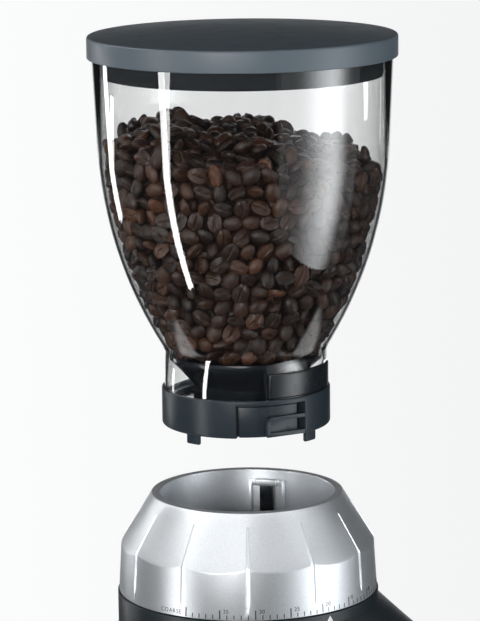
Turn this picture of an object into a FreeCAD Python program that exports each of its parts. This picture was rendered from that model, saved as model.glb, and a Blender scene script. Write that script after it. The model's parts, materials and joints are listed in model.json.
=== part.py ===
import FreeCAD, Part
import math
import os

import Sketcher

# Burr coffee grinder with a lift-off bean hopper, in millimetres.
# +Z is up, the front is -Y and the grinding axis is the line x = 0, y = axis_y.
# The hopper is drawn lifted clear of the adjusting ring.

os.makedirs("parts", exist_ok=True)
doc = FreeCAD.newDocument("coffee_grinder")
sheet = doc.addObject("Spreadsheet::Sheet", "Sizes")
sheet_row = 0


class Size:
    """A length or an angle: its number, and the expression that gives it."""

    def __init__(self, value, text):
        self.value = value
        self.text = text

    @staticmethod
    def of(other):
        if isinstance(other, Size):
            return other
        return Size(float(other), "(%r)" % float(other))

    def __add__(self, other):
        other = Size.of(other)
        return Size(self.value + other.value, "(%s + %s)" % (self.text, other.text))

    def __sub__(self, other):
        other = Size.of(other)
        return Size(self.value - other.value, "(%s - %s)" % (self.text, other.text))

    def __mul__(self, other):
        other = Size.of(other)
        return Size(self.value * other.value, "(%s * %s)" % (self.text, other.text))

    def __truediv__(self, other):
        other = Size.of(other)
        return Size(self.value / other.value, "(%s / %s)" % (self.text, other.text))

    def __neg__(self):
        return Size(-self.value, "(-%s)" % self.text)

    def __radd__(self, other):
        return Size.of(other) + self

    def __rsub__(self, other):
        return Size.of(other) - self

    def __rmul__(self, other):
        return Size.of(other) * self


def size(name, value):
    """A driving size: a plain number in the sheet under its own name."""
    global sheet_row
    sheet_row += 1
    cell = "A%d" % sheet_row
    sheet.set(cell, str(value))
    sheet.setAlias(cell, name)
    return Size(float(value), "Sizes." + name)


def cosine(angle):
    return Size(math.cos(math.radians(angle.value)), "cos(%s * 1 deg)" % angle.text)


def sine(angle):
    return Size(math.sin(math.radians(angle.value)), "sin(%s * 1 deg)" % angle.text)


def root(square):
    return Size(math.sqrt(square.value), "sqrt(%s)" % square.text)


ZERO = Size.of(0)
FULL_TURN = 360

# Fits
running_clearance = size("running_clearance", 0.05)
seat_clearance = size("seat_clearance", 0.3)
slide_clearance = size("slide_clearance", 0.4)

# Feet, base and tray
foot_height = size("foot_height", 6)
foot_radius = size("foot_radius", 9)
foot_inset = size("foot_inset", 20)
base_plate_thickness = size("base_plate_thickness", 2)
base_plate_inset = size("base_plate_inset", 1.5)
base_height = size("base_height", 16)
base_reach = size("base_reach", 130)
base_corner = size("base_corner", 22)
tray_half_width = size("tray_half_width", 40)
tray_depth = size("tray_depth", 10)
tray_wall = size("tray_wall", 2)
tray_grip_radius = size("tray_grip_radius", 14)

# Column and head of the housing
housing_radius = size("housing_radius", 65.8)
housing_wall = size("housing_wall", 3)
column_reach = size("column_reach", 34)
column_corner = size("column_corner", 10)
column_height = size("column_height", 84)
nose_height = size("nose_height", 23)
visor_drop = size("visor_drop", 26)
lip_height = size("lip_height", 5)
nose_reach = size("nose_reach", 45)
nose_corner = size("nose_corner", 30)
head_plate = size("head_plate", 4)
vent_width = size("vent_width", 34)
vent_height = size("vent_height", 3)
vent_pitch = size("vent_pitch", 8)
vent_level = size("vent_level", 26)
VENTS = 6
gland_level = size("gland_level", 12)
gland_radius = size("gland_radius", 7)
gland_length = size("gland_length", 8)
gland_bore = size("gland_bore", 3.6)

# Adjusting ring
ring_gap = size("ring_gap", 0.4)
ring_height = size("ring_height", 49.2)
ring_shoulder_height = size("ring_shoulder_height", 25.2)
ring_inset = size("ring_inset", 0.6)
ring_lean = size("ring_lean", 1.5)
ring_top_radius = size("ring_top_radius", 48.1)
ring_bore_radius = size("ring_bore_radius", 43.9)
ring_wall = size("ring_wall", 4)
ring_sleeve_lift = size("ring_sleeve_lift", 8)
ring_edge = size("ring_edge", 1.2)
ring_angle = size("ring_angle", 22.5)
socket_depth = size("socket_depth", 20.2)
flute_width = size("flute_width", 2.2)
flute_depth = size("flute_depth", 0.8)
flute_foot = size("flute_foot", 5)
flute_top = size("flute_top", 40)
FLUTES = 12

# Burr carrier, burrs and chamber
throat_radius = size("throat_radius", 24)
carrier_rim_step = size("carrier_rim_step", 4.9)
carrier_rim_depth = size("carrier_rim_depth", 5.6)
carrier_rim_thickness = size("carrier_rim_thickness", 4)
carrier_lip = size("carrier_lip", 7)
carrier_lift = size("carrier_lift", 0.75)
burr_height = size("burr_height", 21)
burr_outer_radius = size("burr_outer_radius", 30)
burr_foot_radius = size("burr_foot_radius", 19.6)
burr_throat_radius = size("burr_throat_radius", 15.5)
burr_tooth = size("burr_tooth", 2.2)
burr_gap = size("burr_gap", 1.1)
burr_twist = size("burr_twist", 24)
burr_overhang = size("burr_overhang", 2)
INNER_TEETH = 12
OUTER_TEETH = 18
chamber_wall = size("chamber_wall", 2.8)
chamber_flange = size("chamber_flange", 12)
chamber_flange_thickness = size("chamber_flange_thickness", 3)
chamber_depth = size("chamber_depth", 30)
chamber_floor = size("chamber_floor", 3)
sweeper_height = size("sweeper_height", 8)
sweeper_plate = size("sweeper_plate", 2)
VANES = 4
port_half_width = size("port_half_width", 10)
port_height = size("port_height", 10)
catch_angle = size("catch_angle", 38.2)
catch_span = size("catch_span", 26)
catch_height = size("catch_height", 16.5)
catch_thickness = size("catch_thickness", 3.6)
catch_leg_span = size("catch_leg_span", 4)
catch_cap = size("catch_cap", 3)

# Drive
shaft_radius = size("shaft_radius", 5)
bearing_radius = size("bearing_radius", 11)
bearing_height = size("bearing_height", 7)
boss_wall = size("boss_wall", 3)
plate_thickness = size("plate_thickness", 3)
gear_width = size("gear_width", 12)
first_gear_width = size("first_gear_width", 7)
gear_space = size("gear_space", 1)
first_module = size("first_module", 1)
second_module = size("second_module", 1.25)
mesh_clearance = size("mesh_clearance", 0.12)
motor_setback = size("motor_setback", 34)
motor_room = size("motor_room", 2.8)
motor_height = size("motor_height", 55)
motor_shaft_radius = size("motor_shaft_radius", 2.5)
can_wall = size("can_wall", 5)
can_base = size("can_base", 4)
can_cap = size("can_cap", 8)
air_gap = size("air_gap", 0.8)
end_room = size("end_room", 3)
slot_radius = size("slot_radius", 2.2)
idler_pin_radius = size("idler_pin_radius", 3)
idler_hub = size("idler_hub", 7)
screw_radius = size("screw_radius", 1.6)
screw_head = size("screw_head", 2.9)
PINION_TEETH = 12
ARMATURE_SLOTS = 12
IDLER_WHEEL_TEETH = 36
IDLER_PINION_TEETH = 14
FINAL_TEETH = 42
PRESSURE_ANGLE = 25

# Outlet, fork, start button and switch
chute_half_width = size("chute_half_width", 13)
chute_wall = size("chute_wall", 2)
chute_setback = size("chute_setback", 6.2)
chute_depth = size("chute_depth", 18)
chute_drop = size("chute_drop", 8)
fork_level = size("fork_level", 56)
fork_thickness = size("fork_thickness", 5)
fork_half_width = size("fork_half_width", 40)
fork_slot = size("fork_slot", 30)
fork_length = size("fork_length", 60)
fork_flange = size("fork_flange", 12)
button_level = size("button_level", 40)
button_radius = size("button_radius", 6)
button_stem_radius = size("button_stem_radius", 3)
button_reach = size("button_reach", 9)
button_head = size("button_head", 3)
button_travel = size("button_travel", 3)
switch_depth = size("switch_depth", 9)
switch_arm = size("switch_arm", 2)
spring_wire = size("spring_wire", 0.35)
SPRING_TURNS = 3
rocker_level = size("rocker_level", 30)
rocker_half_height = size("rocker_half_height", 9.5)
rocker_half_width = size("rocker_half_width", 6)
rocker_depth = size("rocker_depth", 14)
rocker_frame = size("rocker_frame", 2)
rocker_swing = size("rocker_swing", 9)
rocker_pin = size("rocker_pin", 1.2)
board_half_width = size("board_half_width", 24)
board_length = size("board_length", 30)
board_thickness = size("board_thickness", 1.6)
board_standoff = size("board_standoff", 4)
board_margin = size("board_margin", 4)
relay_inset = size("relay_inset", 3)
relay_width = size("relay_width", 13)
relay_length = size("relay_length", 16)
relay_height = size("relay_height", 14)

# Hopper, lifted clear of the ring
lift_gap = size("lift_gap", 36.3)
collar_radius = size("collar_radius", 42.1)
collar_height = size("collar_height", 18.8)
collar_step = size("collar_step", 3)
collar_wall = size("collar_wall", 7.2)
collar_ledge = size("collar_ledge", 1.8)
shutter_level = size("shutter_level", 11.7)
tab_length = size("tab_length", 4.6)
tab_thickness = size("tab_thickness", 2.2)
tab_inset = size("tab_inset", 0.5)
tab_span = size("tab_span", 11.5)
tab_angle = size("tab_angle", 186.9)
TABS = 4
window_angle = size("window_angle", 225.5)
window_span = size("window_span", 51)
window_depth = size("window_depth", 3.6)
window_height = size("window_height", 16.4)
lever_span = size("lever_span", 30)
lever_height = size("lever_height", 13.4)
lever_rim = size("lever_rim", 1.6)
lever_relief = size("lever_relief", 1.2)
turn_clearance = size("turn_clearance", 0.6)
sight_notch_angle = size("sight_notch_angle", 72)
sight_notch_span = size("sight_notch_span", 48)
sight_notch_depth = size("sight_notch_depth", 8)
neck_radius = size("neck_radius", 40.7)
neck_height = size("neck_height", 37.9)
bowl_wall = size("bowl_wall", 2.5)
shoulder_inset = size("shoulder_inset", 4.5)
bowl_shoulder_height = size("bowl_shoulder_height", 132.4)
bowl_curve_radius = size("bowl_curve_radius", 209)
bowl_height = size("bowl_height", 188.4)
funnel_height = size("funnel_height", 33.9)
funnel_spout_radius = size("funnel_spout_radius", 26)
funnel_wall = size("funnel_wall", 2)
shutter_thickness = size("shutter_thickness", 3)
shutter_travel = size("shutter_travel", 60)
hole_span = size("hole_span", 52)
hole_inner_radius = size("hole_inner_radius", 6)
HOLES = 3
grip_angle = size("grip_angle", 248.5)
grip_span = size("grip_span", 69)
grip_height = size("grip_height", 12.4)
grip_overhang = size("grip_overhang", 0.7)
grip_thickness = size("grip_thickness", 3.6)
bean_level = size("bean_level", 143)
bean_heap = size("bean_heap", 9)
lid_radius = size("lid_radius", 76.5)
lid_rim_height = size("lid_rim_height", 10.5)
lid_dome = size("lid_dome", 4)
lid_edge = size("lid_edge", 1.5)
lid_wall = size("lid_wall", 1.6)
lid_plate = size("lid_plate", 2.6)
lid_overlap = size("lid_overlap", 5)
seal_depth = size("seal_depth", 9)
seal_thickness = size("seal_thickness", 3)

# Levels and places that follow
axis_y = (base_reach - lid_radius) / 2
base_bottom = foot_height + base_plate_thickness
base_top = base_bottom + base_height
column_top = base_top + column_height
nose_top = column_top + nose_height
visor_top = nose_top + visor_drop
head_top = visor_top + lip_height
ring_bottom = head_top + ring_gap
ring_top = ring_bottom + ring_height
socket_floor = ring_top - socket_depth
carrier_rim_top = socket_floor - carrier_rim_depth
carrier_rim_bottom = carrier_rim_top - carrier_rim_thickness
carrier_rim_radius = ring_bore_radius - slide_clearance
carrier_floor_radius = ring_bore_radius - carrier_rim_step
burr_top = socket_floor - carrier_lip
burr_bottom = burr_top - burr_height
ring_bottom_radius = housing_radius - ring_inset
ring_shoulder_radius = ring_bottom_radius - ring_lean
chamber_outer = ring_bore_radius - slide_clearance
chamber_bore = chamber_outer - chamber_wall
carrier_skirt = chamber_bore - slide_clearance
chamber_top = carrier_rim_bottom - carrier_lift - seat_clearance
chamber_bottom = head_top - chamber_depth
motor_radius = housing_radius - housing_wall - motor_setback - motor_room
motor_bottom = base_top + seat_clearance
lower_plate_bottom = motor_bottom + motor_height
lower_plate_top = lower_plate_bottom + plate_thickness
first_gear_bottom = lower_plate_top + gear_space
second_gear_bottom = first_gear_bottom + first_gear_width + 2 * gear_space
second_gear_top = second_gear_bottom + gear_width
upper_plate_bottom = second_gear_top + gear_space
upper_plate_top = upper_plate_bottom + plate_thickness
bearing_top = chamber_bottom - chamber_floor
bearing_bottom = bearing_top - bearing_height
boss_bottom = bearing_bottom - boss_wall
sweeper_bottom = chamber_bottom + seat_clearance
inner_burr_bottom = burr_bottom - burr_overhang
inner_burr_top = burr_top + burr_overhang
chute_near = housing_radius + chute_setback
chute_far = chute_near + chute_depth
first_centres = first_module * ((PINION_TEETH + IDLER_WHEEL_TEETH) / 2) + mesh_clearance
second_centres = second_module * ((IDLER_PINION_TEETH + FINAL_TEETH) / 2) + mesh_clearance
idler_back = (second_centres * second_centres - first_centres * first_centres
              + motor_setback * motor_setback) / (2 * motor_setback)
idler_side = root(second_centres * second_centres - idler_back * idler_back)
plate_radius = housing_radius - housing_wall - seat_clearance
plate_front = column_reach - housing_wall - seat_clearance
collar_bottom = ring_top + lift_gap
collar_top = collar_bottom + collar_height
collar_seat = collar_top - collar_ledge
collar_rim = neck_radius + seat_clearance
collar_bore = collar_radius - collar_wall
shutter_bottom = collar_bottom + shutter_level + seat_clearance
shutter_top = shutter_bottom + shutter_thickness
shutter_radius = collar_bore - seat_clearance
neck_bottom = collar_seat + seat_clearance
neck_top = collar_bottom + neck_height
neck_bore = neck_radius - bowl_wall
bowl_shoulder = collar_bottom + bowl_shoulder_height
bowl_shoulder_radius = lid_radius - shoulder_inset
bowl_top = collar_bottom + bowl_height
lid_bottom = bowl_top - lid_overlap
lid_shoulder = lid_bottom + lid_rim_height
lid_bore = lid_radius - lid_wall
bowl_rim_radius = lid_bore - slide_clearance
grip_bottom = collar_top + seat_clearance
grip_top = grip_bottom + grip_height
grip_radius = neck_radius + grip_overhang
funnel_top = collar_bottom + funnel_height
funnel_rim = neck_bore - running_clearance
spout_bottom = shutter_top + seat_clearance
spout_top = funnel_top - (funnel_rim - funnel_spout_radius)

nodes = {}


def keep(label, thing):
    """Name a finished piece."""
    thing.Label = label
    nodes[label] = thing
    return thing


def bind(thing, name, amount):
    amount = Size.of(amount)
    thing.setExpression(name, amount.text)


def place(thing, x=0, y=0, z=0, angle=None):
    """Set a piece down relative to the grinding axis, turned about Z."""
    turn = FreeCAD.Rotation(FreeCAD.Vector(0, 0, 1), 1)
    thing.Placement = FreeCAD.Placement(FreeCAD.Vector(0, 0, 0), turn)
    bind(thing, "Placement.Base.x", x)
    bind(thing, "Placement.Base.y", axis_y + y)
    bind(thing, "Placement.Base.z", z)
    bind(thing, "Placement.Rotation.Angle", 0 if angle is None else angle)
    return thing


def box(name, x, y, z):
    """A block from (low, high) pairs along the three axes."""
    block = doc.addObject("Part::Box", name)
    bind(block, "Length", Size.of(x[1]) - x[0])
    bind(block, "Width", Size.of(y[1]) - y[0])
    bind(block, "Height", Size.of(z[1]) - z[0])
    return place(block, x[0], y[0], z[0])


def rod(name, radius, z, x=0, y=0, span=None, angle=None):
    """An upright cylinder, or a sector of one."""
    cylinder = doc.addObject("Part::Cylinder", name)
    bind(cylinder, "Radius", radius)
    bind(cylinder, "Height", Size.of(z[1]) - z[0])
    bind(cylinder, "Angle", FULL_TURN if span is None else span)
    return place(cylinder, x, y, z[0], angle)


def lying_rod(name, radius, length, x, y, z, along):
    """A cylinder along +X or +Y, from a point."""
    cylinder = doc.addObject("Part::Cylinder", name)
    bind(cylinder, "Radius", radius)
    bind(cylinder, "Height", length)
    turn_axis = FreeCAD.Vector(0, 1, 0) if along == "x" else FreeCAD.Vector(-1, 0, 0)
    quarter = FreeCAD.Rotation(turn_axis, 90)
    cylinder.Placement = FreeCAD.Placement(FreeCAD.Vector(0, 0, 0), quarter)
    bind(cylinder, "Placement.Base.x", x)
    bind(cylinder, "Placement.Base.y", axis_y + y)
    bind(cylinder, "Placement.Base.z", z)
    return cylinder


def cut(name, base, *tools):
    result = base
    for count, tool in enumerate(tools):
        step = doc.addObject("Part::Cut", "%s_cut%d" % (name, count))
        step.Base = result
        step.Tool = tool
        result = step
    return result


def fuse(name, *shapes):
    joined = doc.addObject("Part::MultiFuse", name + "_joined")
    joined.Shapes = list(shapes)
    joined.Refine = True
    return joined


def group(name, *shapes):
    """Separate solids kept in one node."""
    together = doc.addObject("Part::Compound", name + "_group")
    together.Links = list(shapes)
    return together


def sector(name, inner, outer, angle, span, z):
    """A curved block between two radii, about the grinding axis."""
    margin = Size.of(1)
    whole = rod(name + "_outer", outer, z, span=span, angle=angle)
    core = rod(name + "_core", inner, (z[0] - margin, z[1] + margin))
    return cut(name, whole, core)


def arc_between(start, end, radius):
    """The arc of under a half circle from start to end; a negative radius bends clockwise."""
    chord = end.sub(start)
    middle = start.add(end).multiply(0.5)
    rise = math.sqrt(max(radius * radius - chord.Length * chord.Length / 4, 0))
    side = FreeCAD.Vector(-chord.y, chord.x, 0).normalize()
    centre = middle.add(side.multiply(math.copysign(rise, radius)))
    first, last = (start, end) if radius > 0 else (end, start)
    circle = Part.Circle(centre, FreeCAD.Vector(0, 0, 1), abs(radius))
    start_angle = math.atan2(first.y - centre.y, first.x - centre.x)
    end_angle = math.atan2(last.y - centre.y, last.x - centre.x)
    return Part.ArcOfCircle(circle, start_angle, end_angle)


def draw(sketch, outline):
    """Draw a closed outline of (x, y) corners; a third value is the radius of the arc that follows."""
    corners = [FreeCAD.Vector(Size.of(c[0]).value, Size.of(c[1]).value, 0) for c in outline]
    count = len(outline)
    starts = []
    for index, corner in enumerate(outline):
        begin = corners[index]
        finish = corners[(index + 1) % count]
        if len(corner) == 3:
            radius = Size.of(corner[2])
            sketch.addGeometry(arc_between(begin, finish, radius.value), False)
            starts.append(1 if radius.value > 0 else 2)
        else:
            sketch.addGeometry(Part.LineSegment(begin, finish), False)
            starts.append(1)
    for index in range(count):
        following = (index + 1) % count
        ends = Sketcher.Constraint("Coincident", index, 3 - starts[index], following, starts[following])
        sketch.addConstraint(ends)
    for index, corner in enumerate(outline):
        for kind, amount, axis in (("DistanceX", corner[0], -2), ("DistanceY", corner[1], -1)):
            amount = Size.of(amount)
            if amount.value == 0:
                sketch.addConstraint(Sketcher.Constraint("PointOnObject", index, starts[index], axis))
                continue
            number = sketch.addConstraint(
                Sketcher.Constraint(kind, -1, 1, index, starts[index], amount.value))
            sketch.setExpression("Constraints[%d]" % number, amount.text)
        if len(corner) == 3:
            radius = Size.of(corner[2])
            length = radius if radius.value > 0 else -radius
            number = sketch.addConstraint(Sketcher.Constraint("Radius", index, length.value))
            sketch.setExpression("Constraints[%d]" % number, length.text)


def new_sketch(body, name, plane, outline):
    sketch = body.newObject("Sketcher::SketchObject", name)
    support = [feature for feature in body.Origin.OriginFeatures if feature.Role == plane][0]
    sketch.AttachmentSupport = (support, [""])
    sketch.MapMode = "FlatFace"
    draw(sketch, outline)
    return sketch


def turned(name, outline, angle=None):
    """A piece turned about the grinding axis from its (radius, height) outline."""
    body = doc.addObject("PartDesign::Body", name)
    place(body, angle=angle)
    sketch = new_sketch(body, name + "_outline", "XZ_Plane", outline)
    revolution = body.newObject("PartDesign::Revolution", name + "_turn")
    revolution.Profile = sketch
    revolution.ReferenceAxis = (sketch, ["V_Axis"])
    revolution.Angle = FULL_TURN
    return body


def plan(name, outline, z):
    """A piece of one plan outline between two heights."""
    body = doc.addObject("PartDesign::Body", name)
    place(body, z=z[0])
    sketch = new_sketch(body, name + "_outline", "XY_Plane", outline)
    pad = body.newObject("PartDesign::Pad", name + "_pad")
    pad.Profile = sketch
    bind(pad, "Length", Size.of(z[1]) - z[0])
    return body


def side_cut(name, outline, half_width):
    """A piece of one side outline, (forward and back, height), even about x = 0."""
    body = doc.addObject("PartDesign::Body", name)
    place(body)
    sketch = new_sketch(body, name + "_outline", "YZ_Plane", outline)
    pad = body.newObject("PartDesign::Pad", name + "_pad")
    pad.Profile = sketch
    pad.SideType = "Symmetric"
    bind(pad, "Length", 2 * half_width)
    return body


def housing_plan(radius, reach, corner):
    """Round at the back, straight at the sides, with rounded front corners."""
    side = corner - reach
    return [
        (radius, 0, radius),
        (0, radius, radius),
        (-radius, 0),
        (-radius, side, corner),
        (corner - radius, -reach),
        (radius - corner, -reach, corner),
        (radius, side),
    ]


def round_plan(radius):
    """A circle, divided to match the housing's plan."""
    stations = [0, 90, 180, 205, 245, 295, 335]
    return [(radius * cosine(Size.of(a)) if a != 90 else ZERO,
             radius * sine(Size.of(a)) if a not in (0, 180) else ZERO, radius) for a in stations]


def hopper_lid():
    """A shallow cap with a gently domed top and a skirt over the bowl's rim."""
    dome_top = lid_shoulder + lid_dome
    edge_radius = lid_radius - lid_edge
    dome_curve = (edge_radius * edge_radius + lid_dome * lid_dome) / (2 * lid_dome)
    plate_bottom = lid_shoulder - lid_plate
    return keep("hopper_lid", turned("lid", [
        (0, plate_bottom),
        (lid_bore, plate_bottom),
        (lid_bore, lid_bottom),
        (lid_radius, lid_bottom),
        (lid_radius, lid_shoulder - lid_edge, lid_edge),
        (edge_radius, lid_shoulder, dome_curve),
        (0, dome_top),
    ]))


def lid_seal():
    """A black ring under the lid that plugs the bowl's mouth."""
    outer = bowl_rim_radius - bowl_wall - 3 * slide_clearance
    inner = outer - seal_thickness
    return keep("lid_seal", turned("seal", [
        (inner, lid_bottom - seal_depth),
        (outer, lid_bottom - seal_depth),
        (outer, lid_shoulder - lid_plate),
        (inner, lid_shoulder - lid_plate),
    ]))


def hopper_bowl():
    """The clear bowl: a tapered top, a long curve into the neck, and a slot for the shutter's grip."""
    curve = bowl_curve_radius
    inner_curve = bowl_curve_radius - bowl_wall
    blank = turned("bowl", [
        (neck_bore, neck_bottom),
        (neck_radius, neck_bottom),
        (neck_radius, neck_top, curve),
        (bowl_shoulder_radius, bowl_shoulder),
        (bowl_rim_radius, bowl_top),
        (bowl_rim_radius - bowl_wall, bowl_top),
        (bowl_shoulder_radius - bowl_wall, bowl_shoulder, -inner_curve),
        (neck_bore, neck_top),
    ])
    slot_span = grip_span + shutter_travel + 4 * turn_clearance
    slot = sector("neck_slot", neck_bore - 1, neck_radius + 1, grip_angle - 2 * turn_clearance, slot_span,
                  (neck_bottom - 1, grip_top + seat_clearance))
    return keep("hopper_bowl", cut("bowl", blank, slot))


def bean_charge():
    """The beans in the bowl, as one heap that follows the bowl's inner wall."""
    room = bowl_wall + seat_clearance
    rim = bowl_shoulder_radius - room
    beans_bottom = neck_top + seat_clearance
    beans_edge = collar_bottom + bean_level
    foot = neck_bore - 2 * seat_clearance
    return keep("bean_charge", turned("beans", [
        (0, beans_bottom),
        (foot, beans_bottom),
        (foot, neck_top + 2 * seat_clearance, bowl_curve_radius - room),
        (rim, bowl_shoulder),
        (rim, beans_edge),
        (0, beans_edge + bean_heap),
    ]))


def shutter_holes(name, angle, z):
    """Bean openings spread round the axis."""
    openings = []
    for count in range(HOLES):
        openings.append(sector("%s_hole%d" % (name, count), hole_inner_radius,
                               funnel_spout_radius - funnel_wall, angle + count * FULL_TURN / HOLES,
                               hole_span, z))
    return openings


def bean_funnel():
    """The black funnel inside the clear neck, with bean openings in its floor."""
    wall = funnel_wall
    floor_top = spout_bottom + wall
    blank = turned("funnel", [
        (0, spout_bottom),
        (funnel_spout_radius, spout_bottom),
        (funnel_spout_radius, spout_top),
        (funnel_rim, funnel_top),
        (funnel_rim, funnel_top + wall),
        (funnel_rim - wall, funnel_top + wall),
        (funnel_spout_radius - wall, spout_top + wall),
        (funnel_spout_radius - wall, floor_top),
        (0, floor_top),
    ])
    holes = shutter_holes("funnel", grip_angle, (spout_bottom - 1, floor_top + 1))
    return keep("bean_funnel", cut("funnel", blank, *holes))


def hopper_collar():
    """The black collar with its bayonet tabs, lever window, catch recess and rear sight notch."""
    lip_bore = collar_bore - collar_step
    blank = turned("collar", [
        (lip_bore, collar_bottom),
        (collar_radius - 1, collar_bottom),
        (collar_radius, collar_bottom + 1),
        (collar_radius, collar_top - 1, 1),
        (collar_radius - 1, collar_top),
        (collar_rim, collar_top),
        (collar_rim, collar_seat),
        (collar_bore, collar_seat),
        (collar_bore, collar_bottom + shutter_level),
        (lip_bore, collar_bottom + shutter_level),
    ])
    window = sector("window", collar_radius - window_depth, collar_radius + 1, window_angle, window_span,
                    (collar_bottom - 1, collar_bottom + window_height))
    catch_room = 4 * turn_clearance
    catch_recess = sector("catch_recess", carrier_floor_radius - seat_clearance, collar_radius + 1,
                          catch_angle - catch_span / 2 - catch_room, catch_span + 2 * catch_room,
                          (collar_bottom - 1, collar_bottom + catch_height + 1))
    notch = sector("sight_notch", collar_bore - 1, collar_radius + 1, sight_notch_angle, sight_notch_span,
                   (collar_top - sight_notch_depth, collar_top + 1))
    body = cut("collar", blank, window, catch_recess, notch)
    tabs = []
    for count in range(TABS):
        outer = collar_radius - tab_inset
        tabs.append(sector("tab%d" % count, outer - tab_thickness, outer,
                           tab_angle + count * FULL_TURN / TABS, tab_span,
                           (collar_bottom - tab_length, collar_bottom + 1)))
    return keep("hopper_collar", fuse("collar", body, *tabs))


def lock_lever():
    """The sliding lock tab in the collar's window: a plate with a raised rim."""
    inner = collar_radius - window_depth + seat_clearance
    start = window_angle + window_span - lever_span - turn_clearance
    bottom = collar_bottom + seat_clearance
    plate = sector("lever", inner, collar_radius - lever_relief, start, lever_span,
                   (bottom, bottom + lever_height))
    frame = sector("lever_frame", inner, collar_radius, start, lever_span, (bottom, bottom + lever_height))
    rim_turn = 2 * turn_clearance + 1
    opening = sector("lever_opening", collar_radius - lever_relief, collar_radius + 1, start + rim_turn,
                     lever_span - rim_turn + 1, (bottom + lever_rim, bottom + lever_height - lever_rim))
    return keep("lock_lever", fuse("lever", plate, cut("lever_rim", frame, opening)))


def bean_shutter():
    """The turning shutter disc, with a wall and an arm that carry the grip."""
    disc = rod("shutter_disc", shutter_radius, (shutter_bottom, shutter_top))
    closed_angle = grip_angle + FULL_TURN / HOLES / 2
    holes = shutter_holes("shutter", closed_angle, (shutter_bottom - 1, shutter_top + 1))
    wall_inner = shutter_radius - grip_thickness
    arm_bottom = collar_seat + seat_clearance
    wall = sector("shutter_wall", wall_inner, shutter_radius, grip_angle + 2, grip_span - 4,
                  (shutter_top - 1, grip_bottom))
    arm = sector("shutter_arm", wall_inner, collar_rim - slide_clearance, grip_angle + 2, grip_span - 4,
                 (arm_bottom, grip_bottom))
    return keep("bean_shutter", fuse("shutter", cut("shutter", disc, *holes), wall, arm))


def shutter_grip():
    """The curved black grip that stands on the shutter's arm, outside the neck."""
    block = sector("grip", grip_radius - grip_thickness, grip_radius, grip_angle, grip_span,
                   (grip_bottom, grip_top))
    return keep("shutter_grip", block)


def adjusting_ring():
    """The cast ring: a coned shell with an inner sleeve, and flutes over its shoulder."""
    shoulder = ring_bottom + ring_shoulder_height
    inner_shoulder = ring_shoulder_radius - ring_wall
    sleeve = ring_bore_radius + ring_wall
    slope = (ring_shoulder_radius - ring_top_radius) / (ring_height - ring_shoulder_height)
    cavity_top = shoulder + (inner_shoulder - sleeve) / slope - ring_wall
    cavity_radius = inner_shoulder - (cavity_top - shoulder) * slope
    body = turned("ring", [
        (ring_bore_radius, ring_bottom + ring_sleeve_lift),
        (sleeve, ring_bottom + ring_sleeve_lift),
        (sleeve, cavity_top),
        (cavity_radius, cavity_top),
        (inner_shoulder, shoulder),
        (ring_bottom_radius - ring_wall, ring_bottom),
        (ring_bottom_radius, ring_bottom),
        (ring_shoulder_radius, shoulder),
        (ring_top_radius, ring_top - ring_edge),
        (ring_top_radius - ring_edge, ring_top, ring_edge * 2),
        (ring_bore_radius, ring_top),
    ], ring_angle)
    lean = (ring_bottom_radius - ring_shoulder_radius) / ring_shoulder_height
    foot_radius_here = ring_bottom_radius - flute_foot * lean - flute_depth
    top_radius_here = ring_shoulder_radius - (flute_top - ring_shoulder_height) * slope - flute_depth
    sketch = new_sketch(body, "flute_outline", "XZ_Plane", [
        (foot_radius_here, ring_bottom + flute_foot),
        (ring_bottom_radius + 1, ring_bottom + flute_foot),
        (ring_bottom_radius + 1, ring_bottom + flute_top),
        (top_radius_here, ring_bottom + flute_top),
        (ring_shoulder_radius - flute_depth, shoulder),
    ])
    flute = body.newObject("PartDesign::Pocket", "flute")
    flute.Profile = sketch
    flute.SideType = "Symmetric"
    bind(flute, "Length", flute_width)
    flutes = body.newObject("PartDesign::PolarPattern", "flutes")
    flutes.Originals = [flute]
    flutes.Axis = (body.Origin.OriginFeatures[2], [""])
    flutes.Angle = FULL_TURN
    flutes.Occurrences = FLUTES
    body.Tip = flutes
    return keep("adjusting_ring", body)


def burr_carrier():
    """The floor of the socket, which carries the outer burr and rises as the ring turns."""
    return keep("burr_carrier", turned("carrier", [
        (throat_radius, socket_floor),
        (carrier_floor_radius, socket_floor),
        (carrier_floor_radius, carrier_rim_top),
        (carrier_rim_radius, carrier_rim_top),
        (carrier_rim_radius, carrier_rim_bottom),
        (carrier_skirt, carrier_rim_bottom),
        (carrier_skirt, burr_bottom),
        (burr_outer_radius, burr_bottom),
        (burr_outer_radius, burr_top),
        (throat_radius, burr_top),
    ]))


def hopper_catch():
    """The bright arch on the carrier's rim that keys the lifted-on hopper, with its dark post."""
    inner = carrier_floor_radius + seat_clearance
    outer = inner + catch_thickness
    top = socket_floor + catch_height
    start = catch_angle - catch_span / 2
    arch = sector("catch_arch", inner, outer, start, catch_span, (carrier_rim_top, top))
    gap = sector("catch_gap", inner - 1, outer + 1, start + catch_leg_span, catch_span - 2 * catch_leg_span,
                 (carrier_rim_top + catch_cap, top - catch_cap))
    keep("hopper_catch", cut("catch", arch, gap))
    post_span = catch_span - 4 * catch_leg_span
    post = sector("post", inner + seat_clearance, outer - seat_clearance, catch_angle - post_span / 2,
                  post_span, (carrier_rim_top + catch_cap, top - catch_cap))
    return keep("catch_post", post)


def toothed_wire(teeth, tip, valley, level, turn):
    """A closed star of teeth at one height."""
    points = []
    for tooth in range(2 * teeth):
        angle = math.radians(turn + tooth * 180.0 / teeth)
        radius = tip if tooth % 2 == 0 else valley
        points.append(FreeCAD.Vector(radius * math.cos(angle), radius * math.sin(angle), level))
    return Part.makePolygon(points + points[:1])


def shaped(name, shape, x=0, y=0):
    """A piece from a formula, set down relative to the grinding axis."""
    thing = doc.addObject("Part::Feature", name)
    thing.Shape = shape
    return place(thing, x, y)


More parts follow.
